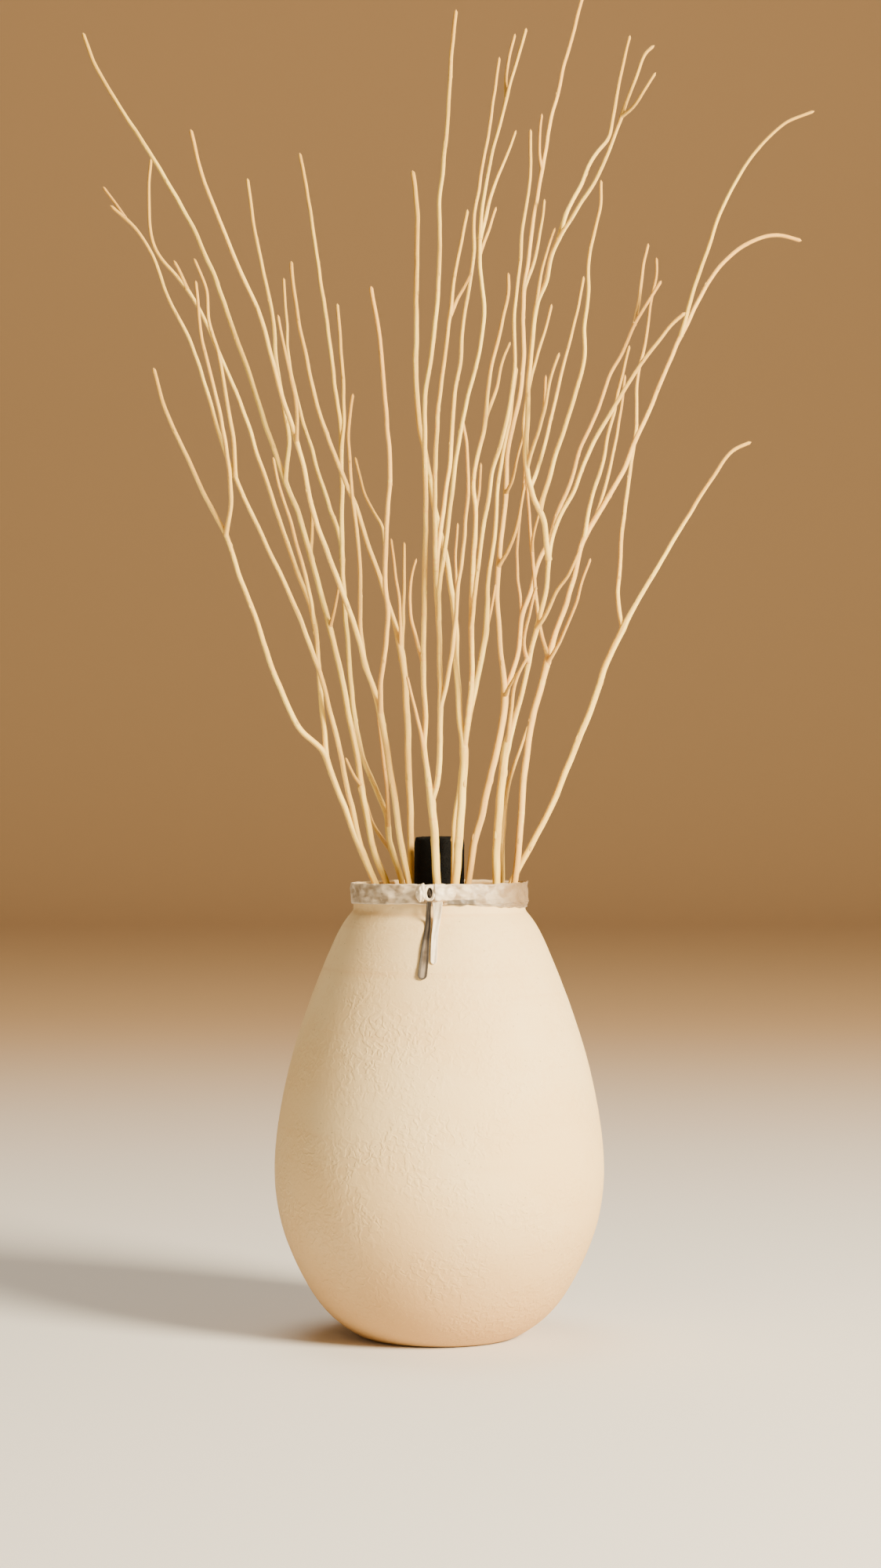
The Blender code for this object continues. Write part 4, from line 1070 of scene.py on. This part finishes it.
def satin(
        name, ground, pale, deep, edge, edge_from=0.86, edge_to=0.99, roughness=0.24, sheen=0.20, shine=0.50,
        along=()):
    """A thin woven cloth that reads its own measure, in metres, from the UV map called cloth.

    It looks tanner where one layer lies bare on the clay. Its pale and deep mottle is painted
    highlight and shade of the crumples, and a strip along its lower edge beside the knot is
    painted shadow.
    """
    material, bench = new_finish(name, ground)
    measure = bench.split(bench.add("ShaderNodeUVMap", {"uv_map": "cloth"}))
    side, way = measure.side("X"), measure.side("Y")
    # The pale and deep mottle is painted highlight and shade of the crumples. The same noise also sets the
    # roughness and relief.
    crumple_noise = bench.noise(bench.joined(side * 420.0, way * 150.0, 0.0), 1.0, detail=3.0, roughness=0.6)
    crumple_light_patches = bench.noise(bench.joined(side * 190.0, way * 120.0, 4.0), 1.0, detail=2.0)
    warp = bench.maths("SINE", side * (2 * math.pi / WARP_PITCH))
    weft = bench.maths("SINE", way * (2 * math.pi / WEFT_PITCH))
    at_edge = bench.between(bench.carried("edge_way"), edge_from, edge_to)
    spot = bench.split(bench.place())
    aside, depth, height = spot.side("X"), spot.side("Y"), spot.side("Z")
    bare = bench.between(aside, 0.002, 0.010) * 0.34 + bench.between(aside, 0.026, 0.046) * 0.60
    bare = bare + bench.between(aside, -0.020, -0.046) * 0.22
    # A painted shadow: the lowest strip of the band beside the knot, on its right and in front, is darkened.
    painted_shadow_strip = bench.between(height, 0.2520, 0.2510) * bench.between(depth, -0.020, -0.040)
    shadow_beside_knot = 0.24 + 0.66 * bench.between(aside, 0.0215, 0.0185)
    painted_shadow_strip = painted_shadow_strip * bench.between(aside, 0.0034, 0.0050) * shadow_beside_knot
    tone = bench.coated(
        ground,
        (bench.between(crumple_light_patches, 0.38, 0.60), pale),
        (bench.between(crumple_noise, 0.50, 0.78) * 0.45, deep),
        *[(bench.between(way, low, high) * share, colour) for colour, low, high, share in along],
        (at_edge * 0.85, edge),
        (bare, SATIN_THIN),
        (painted_shadow_strip, SATIN_PAINTED_SHADOW))
    relief = warp * 0.012 + weft * 0.009 + (crumple_noise - 0.5) * 0.09
    finished(
        bench, Base_Color=tone, Roughness=roughness + 0.20 * crumple_noise, Normal=bench.bumps(0.7, relief),
        Sheen_Weight=sheen, Sheen_Roughness=0.4, Specular_IOR_Level=shine)
    return material


def sewn(shape, measure, corners):
    """A face of cloth between corners, which are each a vertex and its place in the cloth."""
    face = shape.faces.new([vertex for vertex, place in corners])
    for loop, (vertex, place) in zip(face.loops, corners):
        loop[measure].uv = place


def cloth_piece(name, rows, thickness, finish):
    """A strip of cloth, given as rows of points, with a wall of the cloth's own thickness."""
    shape = bmesh.new()
    measure = shape.loops.layers.uv.new("cloth")
    edge_way = shape.verts.layers.float.new("edge_way")
    ways = travelled([row[len(row) // 2] for row in rows])
    lines = []
    for row, way in zip(rows, ways):
        near_end = 1.0 - (ways[-1] - way) / HEM
        widths = [0.0]
        for start, end in zip(row, row[1:]):
            widths.append(widths[-1] + (end - start).length)
        line = []
        for spot, width in zip(row, widths):
            vertex = shape.verts.new(spot)
            vertex[edge_way] = max(abs(2 * width / max(widths[-1], 1e-6) - 1), near_end)
            line.append((vertex, (width, way)))
        lines.append(line)
    for lower, upper in zip(lines, lines[1:]):
        for i in range(len(lower) - 1):
            sewn(shape, measure, [lower[i], lower[i + 1], upper[i + 1], upper[i]])
    flat_mesh = bpy.data.meshes.new(name)
    shape.to_mesh(flat_mesh)
    shape.free()
    flat = placed(name + "_flat", flat_mesh)
    wall = flat.modifiers.new("wall", "SOLIDIFY")
    wall.thickness = thickness
    wall.offset = 0.0
    walled = settled(name, flat, wall)
    walled.shade_smooth()
    walled.materials.append(finish)
    return placed(name, walled)


def grain(x, y, z):
    """Smooth noise between -1 and 1."""
    return noise.noise(Vector((x, y, z)))


def wound_rows():
    """The wound ribbon's rows, from its start in front, under the outer turns, to its end at the back.

    The numbers inside grain say how often each kind of crease repeats, round the collar and up it.
    """
    rows = []
    for step in range(ROWS_ALONG + 1):
        turned_by = 2 * math.pi * RIBBON_TURNS * step / ROWS_ALONG
        out = round_about(RIBBON_START + turned_by)
        layer = turned_by / (2 * math.pi)
        middle = RIBBON_MIDDLE + FRONT_RISE * max(0.0, -out.y) ** 2 - BACK_DROP * max(0.0, out.y)
        middle += (RIGHT_SPREAD * (layer - RIGHT_SPREAD_TURN) - RIGHT_DROP) * max(0.0, out.x)
        middle += SLIPS * math.sin(turned_by * 0.83 + 0.4) + SLIPS * math.sin(turned_by * 2.9)
        row = []
        for place in range(PLACES_ACROSS + 1):
            share = place / PLACES_ACROSS - 0.5
            height = middle + RIBBON_WIDTH * share
            fold = 1.0 - 2.4 * abs(grain(out.x * 5.2 + height * 130.0, out.y * 5.2, height * 150.0))
            pucker = grain(out.x * 9.5, out.y * 9.5 + height * 60.0, height * 95.0 + 5.0)
            crease = 1.0 - 2.0 * abs(grain(out.x * 16.0, out.y * 16.0, height * 420.0 + 2.0))
            own = grain(out.x * 8.0, out.y * 8.0, layer * 6.0 + share * 2.0)
            ruffle = RUFFLES * grain(out.x * 9.0, out.y * 9.0, layer * 5.0 + share * 1.2)
            reach = COLLAR_RADIUS + RIBBON_LIFT + TURN_STEP * layer
            reach += FOLDS * (fold - 0.35) + PUCKERS * pucker + CREASES * crease + LOOSENESS * own
            row.append(out * max(reach, COLLAR_RADIUS + RIBBON_LIFT) + Vector((0.0, 0.0, height + ruffle)))
        rows.append(row)
    return rows


satin_finish = satin("pale_satin", SATIN, SATIN_PALE, SATIN_DEEP, SATIN_PALE)
# The knot and the pale tail are the same pale ribbon, given a lighter copy of its finish: painted light.
painted_lit_finish = satin("painted_lit_satin", SATIN_PALE, SATIN_PAINTED_LIT, SATIN, SATIN_PAINTED_LIT)
band_rows = wound_rows()
wound_ribbon = cloth_piece("wound_ribbon", band_rows, RIBBON_THICKNESS, satin_finish)
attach(wound_ribbon, "root")
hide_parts("neck_band")


# The ribbon's knot
# The two ends are tucked through each other at the front. The tuck puffs out into a small lobe
# on its left and a longer one on its right, round a dark eye where a taupe ribbon goes in.
KNOT_MIDDLE = Vector((-0.0054, -0.0542, 0.2556))
LOBE_HALF_HEIGHT = 0.0047
LOBE_HALF_DEPTH = 0.0035
LOBE_LIP = 0.0013
LOBE_TAPER_FROM = 0.45
LOBE_DRIFT = 0.0004
PLEAT_DEPTH = 0.10
DENT_DEPTH = 0.26
LOBE_RINGS = 40
LOBE_STEPS = 56
EYE_STEPS = 64
EYE_WARP = 0.0004
ROLL_STEPS = 24
ROLL_DEEPER = 1.15
KNOT_WEAVE = (0.0004, 0.0003)

# Each lobe: where it starts and ends, from the knot's middle, its number of pleats and their phase.
LOBES = [
    ((-0.0022, 0.0, 0.0), (-0.0080, 0.0006, 0.0003), 5, 0.4),
    ((0.0022, 0.0, 0.0), (0.0150, 0.0016, 0.0003), 6, 1.7),
]

# A fold round an eye: its place, from there too, half its width and height, its roll's radius and
# its phase.
EYE_FOLD = ((0.0, -0.0009, 0.0), 0.0026, 0.0038, 0.0010, 0.6)


def full_turn(steps):
    """The angles of a whole turn, with the first one again at its end."""
    return [2 * math.pi * (step % steps) / steps for step in range(steps + 1)]


def lobe_rows(start, end, pleats, phase):
    """A puffed lobe, blunt and pleated beside the eye and drawn out at its far end."""
    rows = []
    start, end = KNOT_MIDDLE + Vector(start), KNOT_MIDDLE + Vector(end)
    length = (end - start).length
    for ring in range(LOBE_RINGS + 1):
        share = (ring / LOBE_RINGS) ** 1.4
        lip = min(1.0, share * length / LOBE_LIP)
        taper = max(0.0, (share - LOBE_TAPER_FROM) / (1.0 - LOBE_TAPER_FROM))
        fullness = math.sqrt(max(0.0, 1.0 - (1.0 - lip) ** 2)) * math.sqrt(max(0.0, 1.0 - taper ** 2.2))
        fullness = max(fullness, 0.03)
        middle = start.lerp(end, share) + Vector((0.0, 0.0, LOBE_DRIFT * math.sin(share * 5.0 + phase)))
        row = []
        for turn in full_turn(LOBE_STEPS):
            pleat = 1.0 + PLEAT_DEPTH * (1.0 - share) * math.cos(pleats * turn + phase + share * 2.4)
            dent = 1.0 + DENT_DEPTH * grain(math.cos(turn) * 1.9, math.sin(turn) * 1.9, share * 4.0 + phase)
            size = fullness * pleat * dent
            outward = Vector((
                0.0, LOBE_HALF_DEPTH * size * math.cos(turn), LOBE_HALF_HEIGHT * size * math.sin(turn)))
            row.append(middle + outward)
        rows.append(row)
    return rows


def eye_rows(offset, half_width, half_height, roll, phase):
    """A narrow fold of ribbon that closes round an eye."""
    rows = []
    middle = KNOT_MIDDLE + Vector(offset)
    for turn in full_turn(EYE_STEPS):
        away = Vector((math.cos(turn), 0.0, math.sin(turn)))
        centre = middle + Vector((
            half_width * math.cos(turn), EYE_WARP * math.sin(2 * turn), half_height * math.sin(turn)))
        row = []
        for spin in full_turn(ROLL_STEPS):
            size = roll * (1.0 + 0.30 * math.cos(2 * turn) + 0.16 * math.sin(3 * spin + 2 * turn + phase))
            depth = ROLL_DEEPER * size * math.sin(spin)
            row.append(centre + away * size * math.cos(spin) + Vector((0.0, depth, 0.0)))
        rows.append(row)
    return rows


def closed_form(name, shells, finish):
    """Closed shells of cloth, each given as rows that meet round it, with their ends drawn shut."""
    shape = bmesh.new()
    measure = shape.loops.layers.uv.new("cloth")
    shape.verts.layers.float.new("edge_way")
    step_round, step_along = KNOT_WEAVE
    for rows in shells:
        looped = (rows[0][0] - rows[-1][0]).length < 1e-7
        lines = [[shape.verts.new(spot) for spot in row[:-1]] for row in (rows[:-1] if looped else rows)]
        following = lines[1:] + lines[:1] if looped else lines[1:]
        for number, (lower, upper) in enumerate(zip(lines, following)):
            for i in range(len(lower)):
                after = (i + 1) % len(lower)
                left, right = i * step_round, (i + 1) * step_round
                below, above = number * step_along, (number + 1) * step_along
                sewn(shape, measure, [
                    (lower[i], (left, below)), (lower[after], (right, below)),
                    (upper[after], (right, above)), (upper[i], (left, above))])
        if not looped:
            shape.faces.new(list(reversed(lines[0])))
            shape.faces.new(lines[-1])
    bmesh.ops.recalc_face_normals(shape, faces=shape.faces)
    return made(name, shape, finish)


tucked_knot = closed_form(
    "tucked_knot", [lobe_rows(*lobe) for lobe in LOBES] + [eye_rows(*EYE_FOLD)], painted_lit_finish)
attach(tucked_knot, "root")
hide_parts("ribbon_knot")


# The two tails
# Two short ends hang from the knot and lie down on the vase's shoulder. The right one is the pale
# ribbon's own. The left one is a darker taupe ribbon with brown edges, cut to a round end.
TAIL_STEP = 0.0004
TAIL_THICKNESS = 0.00030
TAIL_TOP_DEPTH = -0.0548
TAIL_GAP = 0.00075
SETTLING_SHARE = 0.25
CLOTH_LIFT = 0.00025
TAIL_PLACES = 12
TAIL_TWIST = math.radians(9.0)
TAIL_RIPPLE = 0.00025
TAIL_CREASE = 0.00012
DARK_TAIL = [
    (-0.0056, 0.2507), (-0.0060, 0.2460), (-0.0066, 0.2400), (-0.0073, 0.2335), (-0.0081, 0.2250),
    (-0.0087, 0.2170), (-0.0095, 0.2090)]
DARK_TAIL_WIDTH = 0.0042
DARK_TAIL_WIDTHS = [0.0023, 0.0028, 0.0034, 0.0040, 0.0046, 0.0051, 0.0052]
DARK_TAIL_CUP = 0.00035
LIGHT_TAIL = [
    (-0.0009, 0.2507), (-0.0011, 0.2460), (-0.0015, 0.2400), (-0.0022, 0.2335), (-0.0027, 0.2250),
    (-0.0031, 0.2173)]
LIGHT_TAIL_WIDTH = 0.0036
LIGHT_TAIL_WIDTHS = [0.0058, 0.0043, 0.0036, 0.0036, 0.0036, 0.0034]
LIGHT_TAIL_CUP = 0.00030

TAUPE = (0.095, 0.070, 0.050)
TAUPE_PALE = (0.190, 0.146, 0.108)
TAUPE_DEEP = (0.030, 0.025, 0.022)
TAUPE_PAINTED_LIGHT = (0.330, 0.265, 0.200)

# How the taupe tail's colour changes along it: a colour, the lengths between which it comes in, in
# metres, and its share. The first is painted shade near the knot, the second a painted highlight
# at its end.
TAUPE_PAINTED_SHADE_AND_LIGHT = [(TAUPE_DEEP, 0.028, 0.019, 0.78), (TAUPE_PAINTED_LIGHT, 0.034, 0.041, 0.55)]


def clay_radius(height):
    """The vase's outer radius at a height."""
    for upper, lower in zip(clay_side, clay_side[1:]):
        if upper.y >= height >= lower.y:
            share = (upper.y - height) / (upper.y - lower.y)
            return upper.x + (lower.x - upper.x) * share
    return COLLAR_RADIUS


def tail_line(points, width):
    """A tail's middle line hangs from the knot and comes to rest on the vase's shoulder."""
    line = []
    for across, height in points:
        resting = clay_radius(height) + width / 2 + TAIL_GAP
        line.append(Vector((across, min(-math.sqrt(resting ** 2 - across ** 2), TAIL_TOP_DEPTH), height)))
    return fair_curve(line, TAIL_STEP)


def width_at(widths, share):
    """The width at a share of the way along a tail, from its widths at even steps."""
    step = share * (len(widths) - 1)
    lower = min(int(step), len(widths) - 2)
    return widths[lower] + (widths[lower + 1] - widths[lower]) * (step - lower)


def tail_rows(line, widths, full_width, cup, sway):
    """A tail's rows across: nearly flat, a little cupped, with a round end.

    The line is the middle of a cord as thick as the tail is wide. The flat cloth sinks from it until
    it lies just off the clay.
    """
    lengths = travelled(line)
    rows = []
    for number, (spot, length) in enumerate(zip(line, lengths)):
        share = length / lengths[-1]
        width = width_at(widths, share)
        left_over = lengths[-1] - length
        if left_over < width / 2:
            width *= max(0.10, math.sqrt(max(0.0, 1.0 - (1.0 - left_over / (width / 2)) ** 2)))
        ahead = (line[min(number + 1, len(line) - 1)] - line[max(number - 1, 0)]).normalized()
        out = Vector((spot.x, spot.y, 0.0)).normalized()
        out = (out - ahead * out.dot(ahead)).normalized()
        side = out.cross(ahead)
        side.rotate(Quaternion(ahead, TAIL_TWIST * math.sin(share * 4.3 + sway)))
        out = ahead.cross(side) if ahead.cross(side).dot(out) > 0 else side.cross(ahead)
        sunk = (full_width / 2 - CLOTH_LIFT) * min(1.0, share / SETTLING_SHARE)
        ripple = TAIL_RIPPLE * math.sin(share * 14.0 + sway)
        row = []
        for place in range(TAIL_PLACES + 1):
            way = 2 * place / TAIL_PLACES - 1
            crease = TAIL_CREASE * math.sin(5.0 * way + share * 9.0 + sway) * (1 - share * 0.5)
            lift = cup * way ** 2 + crease
            row.append(spot + side * (width / 2 * way) + out * (lift + ripple - sunk))
        rows.append(row)
    return rows


taupe_finish = satin(
    "taupe_satin", TAUPE, TAUPE_PALE, TAUPE_DEEP, TAUPE_DEEP, edge_from=0.25, edge_to=0.66, roughness=0.46,
    sheen=0.0, shine=0.25, along=TAUPE_PAINTED_SHADE_AND_LIGHT)
for name, node, slot, finish, points, gauge, widths, cup, sway in [
        ("taupe_tail", "dark_tail", "dark_ribbon", taupe_finish,
         DARK_TAIL, DARK_TAIL_WIDTH, DARK_TAIL_WIDTHS, DARK_TAIL_CUP, 0.3),
        ("pale_tail", "light_tail", "ribbon", painted_lit_finish,
         LIGHT_TAIL, LIGHT_TAIL_WIDTH, LIGHT_TAIL_WIDTHS, LIGHT_TAIL_CUP, 1.9)]:
    line = tail_line(points, gauge)
    tail = cloth_piece(name, tail_rows(line, widths, gauge, cup, sway), TAIL_THICKNESS, finish)
    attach(tail, "root")
    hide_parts(node)
    route = line[:-1:4] + [line[-1]]


# The fold in the knot's eye
# A small fold of the taupe ribbon fills the eye, where it goes in behind the pale one. It is the
# same thin satin, rolled on itself and held by the knot, in a darker copy of its colours: painted
# shade, so that it shows as a dark slot.
TAUPE_FOLD = ((0.0, 0.0004, -0.0002), 0.0006, 0.0028, 0.0014, 2.1)
FOLD_PAINTED_SHADE_PALE = (0.034, 0.025, 0.019)
FOLD_PAINTED_SHADE_DEEP = (0.008, 0.006, 0.005)

painted_shade_finish = satin(
    "taupe_painted_shade", TAUPE_DEEP, FOLD_PAINTED_SHADE_PALE, FOLD_PAINTED_SHADE_DEEP, TAUPE_DEEP, roughness=0.60, sheen=0.0, shine=0.10)
folded_in = closed_form("folded_in", [eye_rows(*TAUPE_FOLD)], painted_shade_finish)
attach(folded_in, "root")
